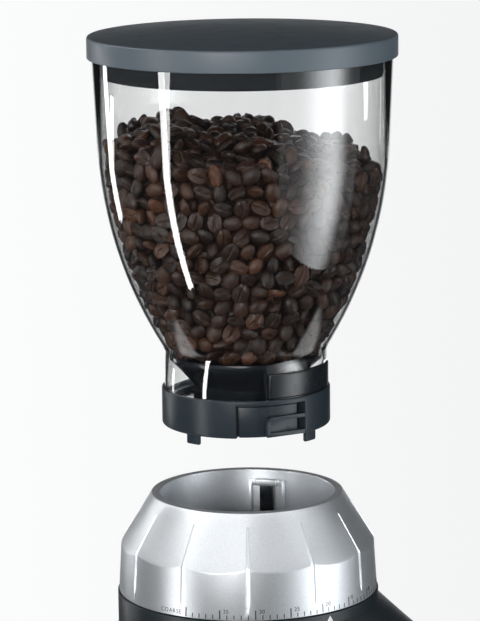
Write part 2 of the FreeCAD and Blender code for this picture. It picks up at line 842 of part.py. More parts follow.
def burr_radius_at(level):
    """The outer burr's inner tooth tips narrow from its foot to its throat."""
    share = (level - burr_bottom.value) / burr_height.value
    return burr_foot_radius.value + (burr_throat_radius.value - burr_foot_radius.value) * share


def outer_burr():
    """The fixed cutting ring, with slanting teeth inside a cone."""
    seat = burr_outer_radius.value - running_clearance.value
    bottom = burr_bottom.value
    top = burr_top.value
    centre = FreeCAD.Vector(0, 0, bottom)
    ring = Part.makeCylinder(seat, burr_height.value, centre)
    wires = []
    for level, share in ((bottom - 0.01, 0.0), (top + 0.01, 1.0)):
        tip = burr_radius_at(level)
        valley = tip + burr_tooth.value * (1 + share)
        wires.append(toothed_wire(OUTER_TEETH, tip, valley, level, share * burr_twist.value))
    cone = Part.makeLoft(wires, True, True)
    return keep("outer_burr", shaped("outer_burr_solid", ring.cut(cone)))


def inner_burr():
    """The turning cone, with slanting teeth that grow towards its top."""
    bottom = inner_burr_bottom.value
    top = inner_burr_top.value
    wires = []
    for level, share in ((bottom, 0.0), (top, 1.0)):
        tip = burr_radius_at(level) - burr_gap.value
        valley = tip - burr_tooth.value * (1 + share)
        wires.append(toothed_wire(INNER_TEETH, tip, valley, level, -share * burr_twist.value))
    cone = Part.makeLoft(wires, True, True)
    bore = Part.makeCylinder(shaft_radius.value + running_clearance.value, top - bottom,
                             FreeCAD.Vector(0, 0, bottom))
    return keep("inner_burr", shaped("inner_burr_solid", cone.cut(bore)))


def screws(name, places, head_top, head_height, length):
    """Plain screws with round heads, at (x, y) places."""
    made = []
    for count, (x, y) in enumerate(places):
        head_bottom = head_top - head_height
        head = rod("%s_head%d" % (name, count), screw_head, (head_bottom, head_top), x, y)
        shank = rod("%s_shank%d" % (name, count), screw_radius, (head_bottom - length, head_bottom), x, y)
        made.append(fuse("%s_%d" % (name, count), head, shank))
    return keep(name, group(name, *made))


def ring_places(count, radius, start):
    places = []
    for number in range(count):
        angle = Size.of(start + number * FULL_TURN / count)
        places.append((radius * cosine(angle), radius * sine(angle)))
    return places


def screw_holes(name, places, z, radius):
    return [rod("%s_hole%d" % (name, n), radius, z, x, y) for n, (x, y) in enumerate(places)]


def grinding_chamber():
    """The cup round the burrs: a flange on the head, a port to the chute and a boss for the bearing."""
    boss = bearing_radius + boss_wall
    floor_bottom = chamber_bottom - chamber_floor
    flange = chamber_outer + chamber_flange
    flange_top = head_top + chamber_flange_thickness
    shaft_hole = shaft_radius + slide_clearance
    blank = turned("chamber", [
        (shaft_hole, floor_bottom),
        (bearing_radius, floor_bottom),
        (bearing_radius, boss_bottom),
        (boss, boss_bottom),
        (boss, floor_bottom),
        (chamber_outer, floor_bottom),
        (chamber_outer, head_top),
        (flange, head_top),
        (flange, flange_top),
        (chamber_outer, flange_top),
        (chamber_outer, chamber_top),
        (chamber_bore, chamber_top),
        (chamber_bore, chamber_bottom),
        (shaft_hole, chamber_bottom),
    ])
    port = box("port", (-port_half_width, port_half_width), (-chamber_outer - 1, -chamber_bore + 5),
               (chamber_bottom, chamber_bottom + port_height))
    places = ring_places(4, chamber_outer + chamber_flange / 2, 45)
    holes = screw_holes("chamber_screw", places, (head_top - 1, flange_top + 1),
                        screw_radius + running_clearance)
    return keep("grinding_chamber", cut("chamber", blank, port, *holes)), places


def grounds_sweeper():
    """The paddle disc under the inner burr that pushes the grounds to the port."""
    radius = chamber_bore - 2 * slide_clearance
    hub = shaft_radius + 4 * running_clearance + boss_wall
    disc = rod("sweeper_disc", radius, (sweeper_bottom, sweeper_bottom + sweeper_plate))
    hub_post = rod("sweeper_hub", hub, (sweeper_bottom, inner_burr_bottom))
    vanes = []
    for count in range(VANES):
        vane = doc.addObject("Part::Box", "vane%d" % count)
        bind(vane, "Length", radius - 1)
        bind(vane, "Width", sweeper_plate)
        bind(vane, "Height", sweeper_height)
        vanes.append(place(vane, z=sweeper_bottom, angle=Size.of(count * FULL_TURN / VANES)))
    whole = fuse("sweeper", disc, hub_post, *vanes)
    bore = rod("sweeper_bore", shaft_radius + running_clearance, (sweeper_bottom - 1, inner_burr_bottom + 1))
    return keep("grounds_sweeper", cut("sweeper", whole, bore))


def drive_shaft():
    keep("drive_shaft", rod("shaft", shaft_radius, (lower_plate_bottom, inner_burr_top)))
    head = 2 * shaft_radius - 1
    bolt_top = inner_burr_top + shaft_radius
    cap = rod("bolt_cap", head, (inner_burr_top, bolt_top - 1))
    crown = rod("bolt_crown", head - 2, (bolt_top - 1, bolt_top))
    keep("burr_bolt", fuse("bolt", cap, crown))
    bore = shaft_radius + running_clearance
    race = turned("bearing", [
        (bore, bearing_bottom),
        (bearing_radius - running_clearance, bearing_bottom),
        (bearing_radius - running_clearance, bearing_top),
        (bore, bearing_top),
    ])
    keep("upper_bearing", race)
    keep("shaft_clip", turned("clip", [
        (bore, bearing_bottom - 1),
        (bearing_radius - running_clearance, bearing_bottom - 1),
        (bearing_radius - running_clearance, bearing_bottom),
        (bore, bearing_bottom),
    ]))
    bush_radius = shaft_radius + boss_wall
    keep("lower_bush", turned("bush", [
        (bore, lower_plate_bottom),
        (bush_radius, lower_plate_bottom),
        (bush_radius, lower_plate_top),
        (bush_radius + boss_wall, lower_plate_top),
        (bush_radius + boss_wall, lower_plate_top + gear_space),
        (bore, lower_plate_top + gear_space),
    ]))
    return bush_radius


def gear_solid(teeth, module, low, high, bore, phase):
    """A spur gear of straight-segment involute teeth, thinned for backlash."""
    pressure = math.radians(PRESSURE_ANGLE)
    pitch = module * teeth / 2
    base = pitch * math.cos(pressure)
    root_radius = pitch - 1.25 * module
    tip = pitch + 0.9 * module
    half_pitch = math.pi / (2 * teeth) - mesh_clearance.value / (2 * pitch)
    spread = math.tan(pressure) - pressure
    flank = []
    for radius in (base, pitch, tip):
        lean = math.acos(min(base / radius, 1))
        flank.append((radius, half_pitch + spread - (math.tan(lean) - lean)))
    if root_radius < base:
        flank.insert(0, (root_radius, flank[0][1]))
    points = []
    for tooth in range(teeth):
        middle = math.radians(phase) + 2 * math.pi * tooth / teeth
        sides = [(radius, middle - half) for radius, half in flank]
        sides += [(radius, middle + half) for radius, half in reversed(flank)]
        for radius, angle in sides:
            points.append(FreeCAD.Vector(radius * math.cos(angle), radius * math.sin(angle), low))
    face = Part.Face(Part.makePolygon(points + points[:1]))
    solid = face.extrude(FreeCAD.Vector(0, 0, high - low))
    hole = Part.makeCylinder(bore, high - low, FreeCAD.Vector(0, 0, low))
    return solid.cut(hole)


def gear_train():
    """Motor pinion, two-step idler and final gear, meshed at rest."""
    to_idler = math.degrees(math.atan2(idler_back.value, idler_side.value))
    to_motor = math.degrees(math.atan2(motor_setback.value - idler_back.value, -idler_side.value))
    low = second_gear_bottom.value
    high = second_gear_top.value
    first_low = first_gear_bottom.value
    first_high = first_low + first_gear_width.value
    fit = running_clearance.value
    final = gear_solid(FINAL_TEETH, second_module.value, low, high, shaft_radius.value + fit, to_idler)
    keep("final_gear", shaped("final_solid", final))
    bore = idler_pin_radius.value + fit
    small_phase = to_idler + 180 + 180 / IDLER_PINION_TEETH
    small = gear_solid(IDLER_PINION_TEETH, second_module.value, low, high, bore, small_phase)
    wheel = gear_solid(IDLER_WHEEL_TEETH, first_module.value, first_low, first_high, bore, to_motor)
    hub = Part.makeCylinder(idler_hub.value, low - first_high, FreeCAD.Vector(0, 0, first_high))
    hub = hub.cut(Part.makeCylinder(bore, low - first_high, FreeCAD.Vector(0, 0, first_high)))
    idler = small.fuse(hub).fuse(wheel).removeSplitter()
    keep("idler_gear", shaped("idler_solid", idler, idler_side, idler_back))
    pinion_phase = to_motor + 180 + 180 / PINION_TEETH
    pinion = gear_solid(PINION_TEETH, first_module.value, first_low, first_high,
                        motor_shaft_radius.value + fit, pinion_phase)
    keep("motor_pinion", shaped("pinion_solid", pinion, 0, motor_setback))
    pin = rod("pin", idler_pin_radius, (lower_plate_bottom, upper_plate_top), idler_side, idler_back)
    keep("idler_pin", pin)


def motor():
    """A round can under the lower gear plate, its shaft, its slotted armature and its screws."""
    edge = 2
    can = rod("can", motor_radius, (motor_bottom, lower_plate_bottom), 0, motor_setback)
    foot = (motor_bottom - 1, motor_bottom + edge)
    bottom_step = rod("can_step", motor_radius + 1, foot, 0, motor_setback)
    bottom_core = rod("can_core", motor_radius - edge, foot, 0, motor_setback)
    step = cut("can_edge", bottom_step, bottom_core)
    shaft_hole = rod("can_hole", motor_shaft_radius + running_clearance,
                     (motor_bottom + edge, lower_plate_bottom + 1), 0, motor_setback)
    room_bottom = motor_bottom + can_base
    room_top = lower_plate_bottom - can_cap
    room = rod("can_room", motor_radius - can_wall, (room_bottom, room_top), 0, motor_setback)
    places = [(motor_radius / 2, motor_setback), (-motor_radius / 2, motor_setback)]
    holes = screw_holes("can_screw", places, (lower_plate_bottom - 6, lower_plate_bottom + 1), screw_radius)
    keep("motor_can", cut("motor_can", can, step, shaft_hole, room, *holes))
    keep("motor_shaft", rod("rotor", motor_shaft_radius,
                            (motor_bottom + edge + gear_space, first_gear_bottom + first_gear_width),
                            0, motor_setback))
    stack_radius = motor_radius - can_wall - air_gap
    stack_level = (room_bottom + end_room, room_top - end_room)
    stack = rod("stack", stack_radius, stack_level, 0, motor_setback)
    slot_level = (room_bottom, room_top)
    slots = [rod("stack_bore", motor_shaft_radius, slot_level, 0, motor_setback)]
    for number in range(ARMATURE_SLOTS):
        turn = 2 * math.pi * number / ARMATURE_SLOTS
        reach = stack_radius - slot_radius / 2
        slots.append(rod("stack_slot", slot_radius, slot_level,
                         reach * math.cos(turn), motor_setback + reach * math.sin(turn)))
    keep("motor_armature", cut("stack", stack, *slots))
    head_height = gear_space * 0.8
    screws("motor_screws", places, lower_plate_top + head_height, head_height, plate_thickness + 5)
    return places


def gear_plates(bush_radius, motor_places):
    """Two plates across the column that carry the bearings, the idler's pin and the motor."""
    outline = housing_plan(plate_radius, plate_front, column_corner - housing_wall)
    lower = plan("plate_lower", outline, (lower_plate_bottom, lower_plate_top))
    level = (lower_plate_bottom - 1, lower_plate_top + 1)
    lower_holes = [
        rod("bush_hole", bush_radius, level),
        rod("pin_hole", idler_pin_radius + running_clearance, level, idler_side, idler_back),
        rod("rotor_hole", motor_shaft_radius + slide_clearance, level, 0, motor_setback),
    ] + screw_holes("plate_screw", motor_places, level, screw_radius)
    keep("gear_plate_lower", cut("plate_lower", lower, *lower_holes))
    upper = plan("plate_upper", outline, (upper_plate_bottom, upper_plate_top))
    level = (upper_plate_bottom - 1, upper_plate_top + 1)
    upper_holes = [
        rod("shaft_hole", shaft_radius + slide_clearance, level),
        rod("pin_seat", idler_pin_radius + running_clearance, level, idler_side, idler_back),
    ]
    keep("gear_plate_upper", cut("plate_upper", upper, *upper_holes))


def column_shell():
    """The upright of the housing, with vents, a cord boss and openings for the switch and button."""
    outer = plan("column", housing_plan(housing_radius, column_reach, column_corner), (base_top, column_top))
    room = plan("column_room", housing_plan(housing_radius - housing_wall, column_reach - housing_wall,
                                            column_corner - housing_wall), (base_top - 1, column_top + 1))
    boss_half = gland_radius + 3
    gland_z = base_top + gland_level
    back = housing_radius + 1
    boss = box("gland_boss", (-boss_half, boss_half), (housing_radius - housing_wall - 1, back),
               (base_top, gland_z + boss_half))
    gland_hole = lying_rod("gland_hole", gland_radius - 2, 3 * housing_wall, 0,
                           housing_radius - 2 * housing_wall, gland_z, "y")
    vents = []
    for count in range(VENTS):
        bottom = base_top + vent_level + vent_pitch * count
        vents.append(box("vent%d" % count, (-vent_width / 2, vent_width / 2), (housing_radius / 2, back + 1),
                         (bottom, bottom + vent_height)))
    button_hole = lying_rod("button_hole", button_stem_radius + running_clearance, 3 * housing_wall, 0,
                            -column_reach - housing_wall, base_top + button_level, "y")
    switch_z = base_top + rocker_level
    half_y = rocker_half_width + running_clearance
    half_z = rocker_half_height + running_clearance
    switch_hole = box("switch_hole", (housing_radius - 3 * housing_wall, housing_radius + 1),
                      (-column_reach / 2 - half_y, -column_reach / 2 + half_y),
                      (switch_z - half_z, switch_z + half_z))
    walls = cut("column", outer, room)
    keep("column_shell", cut("column_openings", fuse("column", walls, boss), gland_hole, button_hole,
                             switch_hole, *vents))
    flange = lying_rod("gland_flange", gland_radius, gland_length / 4, 0, back, gland_z, "y")
    nozzle = lying_rod("gland_nozzle", gland_radius - 2, gland_length, 0, back, gland_z, "y")
    stem = lying_rod("gland_stem", gland_radius - 2 - running_clearance, 2 * housing_wall, 0,
                     back - 2 * housing_wall, gland_z, "y")
    cord_way = lying_rod("gland_bore", gland_bore, gland_length + 4 * housing_wall, 0,
                         back - 3 * housing_wall, gland_z, "y")
    keep("mains_gland", cut("gland", fuse("gland", flange, nozzle, stem), cord_way))


def loft_plan(name, outline, level):
    sketch = doc.addObject("Sketcher::SketchObject", name)
    draw(sketch, outline)
    return place(sketch, z=level)


def head_shell(chamber_places):
    """The head: a round lip that runs out through a sloping visor into a straight-sided nose."""
    reach = housing_radius + nose_reach
    lower_plan = housing_plan(housing_radius, reach, nose_corner)
    nose = plan("nose", lower_plan, (column_top, nose_top))
    visor = doc.addObject("Part::Loft", "visor")
    visor.Sections = [loft_plan("visor_foot", lower_plan, nose_top),
                      loft_plan("visor_lip", round_plan(housing_radius), visor_top)]
    visor.Ruled = True
    visor.Solid = True
    lip = rod("lip", housing_radius, (visor_top, head_top))
    outer = fuse("head", nose, visor, lip)
    inner_radius = housing_radius - housing_wall
    floor_top = column_top + housing_wall
    room = rod("head_room", inner_radius, (floor_top, head_top - head_plate))
    floor_level = (column_top - 1, floor_top + 1)
    passage = plan("head_passage", housing_plan(inner_radius, column_reach - housing_wall,
                                                column_corner - housing_wall), floor_level)
    nose_room = side_cut("nose_room", [
        (-10, floor_top),
        (-10, head_top - head_plate - lip_height),
        (-housing_radius + housing_wall, visor_top - 2 * housing_wall),
        (-reach + 2 * housing_wall, nose_top - housing_wall),
        (-reach + 2 * housing_wall, floor_top),
    ], housing_radius - nose_corner + housing_wall)
    mouth = rod("head_mouth", chamber_outer + seat_clearance, (head_top - head_plate - 1, head_top + 1))
    chute_hole = box("chute_hole", (-chute_half_width - seat_clearance, chute_half_width + seat_clearance),
                     (-chute_far - seat_clearance, -chute_near + seat_clearance), floor_level)
    holes = screw_holes("head_screw", chamber_places, (head_top - head_plate - 1, head_top + 1), screw_radius)
    keep("head_shell", cut("head", outer, room, passage, nose_room, mouth, chute_hole, *holes))
    head_height = 2
    screws("chamber_screws", chamber_places, head_top + chamber_flange_thickness + head_height, head_height,
           chamber_flange_thickness + head_plate)


def outlet_chute():
    """A bent square duct from the chamber's port to the spout under the nose."""
    near = chamber_outer + seat_clearance
    top = chamber_bottom + port_height + chute_wall
    bottom = chamber_bottom - chute_wall
    spout = column_top - chute_drop
    wall = chute_wall
    duct = side_cut("duct", [
        (-near, top),
        (-chute_near, top),
        (-chute_far, top - port_height),
        (-chute_far, spout),
        (-chute_near, spout),
        (-chute_near, bottom),
        (-near, bottom),
    ], chute_half_width)
    way = side_cut("duct_way", [
        (-near + 1, top - wall),
        (-chute_near, top - wall),
        (-chute_far + wall, top - port_height - wall),
        (-chute_far + wall, spout - 1),
        (-chute_near - wall, spout - 1),
        (-chute_near - wall, bottom + wall),
        (-near + 1, bottom + wall),
    ], chute_half_width - wall)
    arch = rod("duct_arch", near, (bottom - 1, top + 1))
    keep("outlet_chute", cut("duct", duct, way, arch))


def portafilter_fork():
    """A flat fork with a mounting flange on the column's front."""
    level = base_top + fork_level
    front = -column_reach - fork_length
    mouth = fork_slot + 3
    prongs = plan("fork", [
        (-fork_half_width, -column_reach),
        (-fork_half_width, front + 6),
        (-fork_half_width + 6, front),
        (-mouth, front),
        (-fork_slot, front + 8),
        (-fork_slot, -column_reach - fork_slot, -fork_slot),
        (0, -column_reach - 2, -fork_slot),
        (fork_slot, -column_reach - fork_slot),
        (fork_slot, front + 8),
        (mouth, front),
        (fork_half_width - 6, front),
        (fork_half_width, front + 6),
        (fork_half_width, -column_reach),
    ], (level, level + fork_thickness))
    flange = box("fork_flange", (-fork_half_width, fork_half_width),
                 (-column_reach - fork_thickness, -column_reach), (level, level + fork_flange))
    hole_x = fork_half_width - 2 * screw_head
    hole_z = level + (fork_thickness + fork_flange) / 2
    holes = []
    bolts = []
    for count, x in enumerate((-hole_x, hole_x)):
        face = -column_reach - fork_thickness
        holes.append(lying_rod("fork_hole%d" % count, screw_radius + running_clearance,
                               fork_thickness + 2, x, face - 1, hole_z, "y"))
        head = lying_rod("fork_head%d" % count, screw_head, 2, x, face - 2, hole_z, "y")
        shank = lying_rod("fork_shank%d" % count, screw_radius, fork_thickness, x, face, hole_z, "y")
        bolts.append(fuse("fork_bolt%d" % count, head, shank))
    keep("portafilter_fork", cut("fork", fuse("fork", prongs, flange), *holes))
    keep("fork_screws", group("fork_screws", *bolts))


def spring_solid(radius, length, level):
    """A round-wire helix along +Y, with its least gap between turns printed."""
    pitch = (length - 2 * spring_wire.value) / SPRING_TURNS
    steps = 4 * SPRING_TURNS
    points = []
    for step in range(2 * steps + 1):
        turn = math.pi * step / 4
        points.append(FreeCAD.Vector(radius * math.cos(turn), spring_wire.value + pitch * step / 8,
                                     level - radius * math.sin(turn)))
    edges = []
    for step in range(steps):
        edges.append(Part.Arc(points[2 * step], points[2 * step + 1], points[2 * step + 2]).toShape())
    path = Part.Wire(edges)
    tangent = edges[0].tangentAt(edges[0].FirstParameter)
    section = Part.Wire([Part.Circle(points[0], tangent, spring_wire.value).toShape()])
    print("spring gap between turns %.2f mm" % (pitch - 2 * spring_wire.value))
    return path.makePipeShell([section], True, False)


def start_button():
    """The sprung button over which the filter holder starts the motor, with its spring and switch."""
    level = base_top + button_level
    front = column_reach + button_reach
    inner_wall = column_reach - housing_wall
    cap = lying_rod("button_cap", button_radius, button_head, 0, -front, level, "y")
    stem_length = button_reach + housing_wall + button_travel
    stem = lying_rod("button_stem", button_stem_radius, stem_length, 0, -front + button_head / 2, level, "y")
    collar = lying_rod("button_collar", button_stem_radius + 1, button_head / 2, 0,
                       -inner_wall + seat_clearance, level, "y")
    keep("start_button", fuse("button", cap, stem, collar))
    room = button_reach - button_head - 2 * seat_clearance
    spring_radius = (button_stem_radius + spring_wire + slide_clearance).value
    coil = spring_solid(spring_radius, room.value, level.value)
    keep("button_spring", shaped("spring_solid", coil, 0, -column_reach - room - seat_clearance))
    stem_end = -front + button_head / 2 + stem_length
    case_near = stem_end + button_travel + seat_clearance
    case_far = case_near + switch_depth
    case_level = (level - button_radius, level + button_radius)
    case = box("switch_case", (-button_radius, button_radius), (case_near, case_far), case_level)
    arms = []
    for count, x in enumerate((-button_radius - switch_arm, button_radius)):
        arms.append(box("switch_arm%d" % count, (x, x + switch_arm), (-inner_wall, case_far), case_level))
    keep("start_switch", fuse("start_switch", case, *arms))


def power_switch():
    """The rocker in its frame on the column's right side."""
    level = base_top + rocker_level
    middle = -column_reach / 2
    face = housing_radius + rocker_frame / 2
    depth_end = housing_radius - rocker_depth
    rim = box("switch_rim", (housing_radius, face),
              (middle - rocker_half_width - rocker_frame, middle + rocker_half_width + rocker_frame),
              (level - rocker_half_height - rocker_frame, level + rocker_half_height + rocker_frame))
    body = box("switch_body", (depth_end, face), (middle - rocker_half_width, middle + rocker_half_width),
               (level - rocker_half_height, level + rocker_half_height))
    wall = rocker_frame / 2
    half_y = rocker_half_width - wall
    half_z = rocker_half_height - wall
    well = box("switch_well", (depth_end + wall, face + 1), (middle - half_y, middle + half_y),
               (level - half_z, level + half_z))
    pivot = face - wall - rocker_frame
    pin_hole = lying_rod("rocker_hole", rocker_pin + running_clearance, 2 * rocker_half_width + 2,
                         pivot, middle - rocker_half_width - 1, level, "y")
    keep("switch_frame", cut("switch_frame", fuse("switch_frame", rim, body), well, pin_hole))
    key_z = half_z - 2 * slide_clearance
    key_y = half_y - slide_clearance
    key = doc.addObject("PartDesign::Body", "rocker")
    place(key)
    outline = [
        (face - 2 * wall - rocker_frame, level - key_z / 2),
        (face - wall, level - key_z),
        (face, level - key_z),
        (face - wall, level),
        (face + 2 * wall, level + key_z - 1),
        (face - wall, level + key_z - 1),
        (face - 2 * wall - rocker_frame, level + key_z / 2),
        (depth_end + 2 * wall, level),
    ]
    sketch = new_sketch(key, "rocker_outline", "XZ_Plane", outline)
    pad = key.newObject("PartDesign::Pad", "rocker_pad")
    pad.Profile = sketch
    pad.SideType = "Symmetric"
    bind(pad, "Length", 2 * key_y)
    bind(key, "Placement.Base.y", axis_y + middle)
    pin = lying_rod("rocker_pin", rocker_pin, 2 * rocker_half_width, pivot, middle - rocker_half_width,
                    level, "y")
    keep("power_rocker", fuse("rocker", key, pin))


def control_board():
    """The board on its standoffs in front of the motor."""
    bottom = base_top + board_standoff
    back = motor_setback - motor_radius - 2
    front = back - board_length
    plate = box("board", (-board_half_width, board_half_width), (front, back),
                (bottom, bottom + board_thickness))
    relay_side = board_half_width - relay_inset
    relay_front = front + board_margin
    relay = box("relay", (relay_side - relay_width, relay_side), (relay_front, relay_front + relay_length),
                (bottom + board_thickness, bottom + board_thickness + relay_height))
    legs = []
    for count, (x, y) in enumerate(((-1, 0), (1, 0), (-1, 1), (1, 1))):
        legs.append(rod("leg%d" % count, screw_head, (base_top, bottom),
                        x * (board_half_width - board_margin),
                        front + board_margin + y * (board_length - 2 * board_margin)))
    keep("control_board", fuse("board", plate, relay, *legs))


def base_pieces():
    """The base with its tray, the bottom plate and the feet."""
    whole = plan("base", housing_plan(housing_radius, base_reach, base_corner), (base_bottom, base_top))
    tray_back = -column_reach - 2 * housing_wall
    recess = box("tray_recess", (-tray_half_width - slide_clearance, tray_half_width + slide_clearance),
                 (-base_reach - 1, tray_back + slide_clearance), (base_top - tray_depth, base_top + 1))
    room = box("base_room", (-housing_radius / 2, housing_radius / 2), (-column_reach, housing_radius / 2),
               (base_bottom - 1, base_top - 2 * housing_wall))
    keep("base_shell", cut("base", whole, recess, room))
    under = plan("bottom", housing_plan(housing_radius - base_plate_inset, base_reach - base_plate_inset,
                                        base_corner - base_plate_inset), (foot_height, base_bottom))
    keep("base_plate", under)
    side = housing_radius - foot_inset
    back = (housing_radius - foot_inset + foot_radius / 2) * cosine(Size.of(45))
    front = foot_inset - base_reach
    feet = []
    for count, (x, y) in enumerate(((back, back), (-back, back), (side, front), (-side, front))):
        pad = rod("foot%d" % count, foot_radius, (foot_height / 2, foot_height), x, y)
        sole = rod("sole%d" % count, foot_radius - 1, (ZERO, foot_height / 2), x, y)
        feet.append(fuse("foot%d" % count, pad, sole))
    keep("feet", group("feet", *feet))
    tray_bottom = base_top - tray_depth + seat_clearance
    pan = box("tray", (-tray_half_width, tray_half_width), (-base_reach, tray_back), (tray_bottom, base_top))
    hollow = box("tray_hollow", (-tray_half_width + tray_wall, tray_half_width - tray_wall),
                 (-base_reach + 2 * tray_wall, tray_back - tray_wall),
                 (tray_bottom + tray_wall, base_top + 1))
    finger = rod("tray_finger", tray_grip_radius, (tray_bottom - 1, tray_bottom + tray_depth / 2), 0,
                 -base_reach - tray_grip_radius + 3 * tray_wall / 2)
    keep("catch_tray", cut("tray", pan, hollow, finger))


hopper_lid()
lid_seal()
hopper_bowl()
bean_charge()
bean_funnel()
hopper_collar()
lock_lever()
bean_shutter()
shutter_grip()
adjusting_ring()
burr_carrier()
hopper_catch()
outer_burr()
inner_burr()
chamber_screw_places = grinding_chamber()[1]
grounds_sweeper()
bush_outer_radius = drive_shaft()
gear_train()
motor_screw_places = motor()
gear_plates(bush_outer_radius, motor_screw_places)
column_shell()
head_shell(chamber_screw_places)
outlet_chute()
portafilter_fork()
start_button()
power_switch()
control_board()
base_pieces()

doc.recompute()
faults = []
for thing in doc.Objects:
    if "Invalid" in thing.State or "Error" in thing.State:
        faults.append("%s: %s" % (thing.Name, thing.State))
for label, thing in nodes.items():
    if thing.Shape.isNull() or not thing.Shape.isValid() or not thing.Shape.Solids:
        faults.append("%s has no sound solid" % label)
if faults:
    raise RuntimeError("; ".join(faults))
for label, thing in nodes.items():
    thing.Shape.exportStep("parts/%s.step" % label)
print("%d pieces" % len(nodes))
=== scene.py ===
"""A burr coffee grinder with its clear hopper lifted off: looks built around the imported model."""
import json
import math
import random

import bmesh
import bpy
import numpy as np
from mathutils import Matrix, Vector


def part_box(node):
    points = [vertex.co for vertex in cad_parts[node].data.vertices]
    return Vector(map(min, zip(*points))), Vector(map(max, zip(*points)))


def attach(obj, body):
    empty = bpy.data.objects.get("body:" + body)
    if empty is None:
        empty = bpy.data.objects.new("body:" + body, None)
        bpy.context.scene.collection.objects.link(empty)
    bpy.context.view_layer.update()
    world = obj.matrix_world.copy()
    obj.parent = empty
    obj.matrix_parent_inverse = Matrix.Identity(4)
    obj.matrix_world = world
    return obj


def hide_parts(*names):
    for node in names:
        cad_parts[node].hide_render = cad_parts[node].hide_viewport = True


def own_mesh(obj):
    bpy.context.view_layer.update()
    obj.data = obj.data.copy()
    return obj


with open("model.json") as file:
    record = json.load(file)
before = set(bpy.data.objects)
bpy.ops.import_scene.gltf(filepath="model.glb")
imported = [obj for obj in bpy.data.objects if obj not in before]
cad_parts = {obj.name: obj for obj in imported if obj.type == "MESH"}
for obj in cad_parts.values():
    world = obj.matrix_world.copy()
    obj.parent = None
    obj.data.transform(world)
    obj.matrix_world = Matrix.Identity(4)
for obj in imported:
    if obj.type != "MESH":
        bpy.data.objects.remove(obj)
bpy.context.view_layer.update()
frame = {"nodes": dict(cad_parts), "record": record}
scene = bpy.context.scene
scene.view_settings.view_transform = "Standard"

MM = 0.001
FULL_TURN = 360.0
SPIN_STEPS = 144
MERGE = 1e-6

# Levels and radii in millimetres, read from the frame
ring_low, ring_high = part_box("adjusting_ring")
AXIS = (ring_low.y + ring_high.y) / 2 / MM
RING_BOTTOM = ring_low.z / MM
RING_TOP = ring_high.z / MM
RING_RADIUS = (ring_high.x - ring_low.x) / 2 / MM
collar_low, collar_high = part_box("hopper_collar")
lid_low, lid_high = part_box("hopper_lid")
bowl_low, bowl_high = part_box("hopper_bowl")
grip_low, grip_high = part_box("shutter_grip")
spring_low, spring_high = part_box("button_spring")
lever_low, lever_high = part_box("lock_lever")

# The collar's body ends above its tabs
TAB_DROP = 4.6
COLLAR_BOTTOM = collar_low.z / MM + TAB_DROP

# Directions: the photograph looks at the part from 37.5 degrees left of its front
VIEW_TURN = 37.5
NEAR_SIDE = 270.0 - VIEW_TURN


def point(radius, height, turn=0.0):
    """A place from the grinding axis: millimetres and degrees in, metres out."""
    angle = math.radians(turn)
    return Vector((radius * math.cos(angle), AXIS + radius * math.sin(angle), height)) * MM


# Shader maths


class Wire:
    """A number on its way through a finish's nodes."""

    def __init__(self, finish, socket):
        self.finish = finish
        self.socket = socket

    def calculate(self, operation, *values):
        node = self.finish.add("ShaderNodeMath", {"operation": operation}, dict(enumerate(values)))
        return Wire(self.finish, node.outputs[0])

    def __add__(self, other):
        return self.calculate("ADD", self, other)

    __radd__ = __add__

    def __mul__(self, other):
        return self.calculate("MULTIPLY", self, other)

    __rmul__ = __mul__

    def __sub__(self, other):
        return self.calculate("SUBTRACT", self, other)

    def __rsub__(self, other):
        return self.calculate("SUBTRACT", other, self)

    def __truediv__(self, other):
        return self.calculate("DIVIDE", self, other)

    def __pow__(self, other):
        return self.calculate("POWER", self, other)

    def at_most(self, other):
        return self.calculate("MINIMUM", self, other)

    def at_least(self, other):
        return self.calculate("MAXIMUM", self, other)

    def between(self, low, high):
        """Nought below low, one above high, a smooth step between."""
        node = self.finish.add("ShaderNodeMapRange", {"interpolation_type": "SMOOTHSTEP"},
                               {"Value": self, "From Min": low, "From Max": high})
        return Wire(self.finish, node.outputs["Result"])


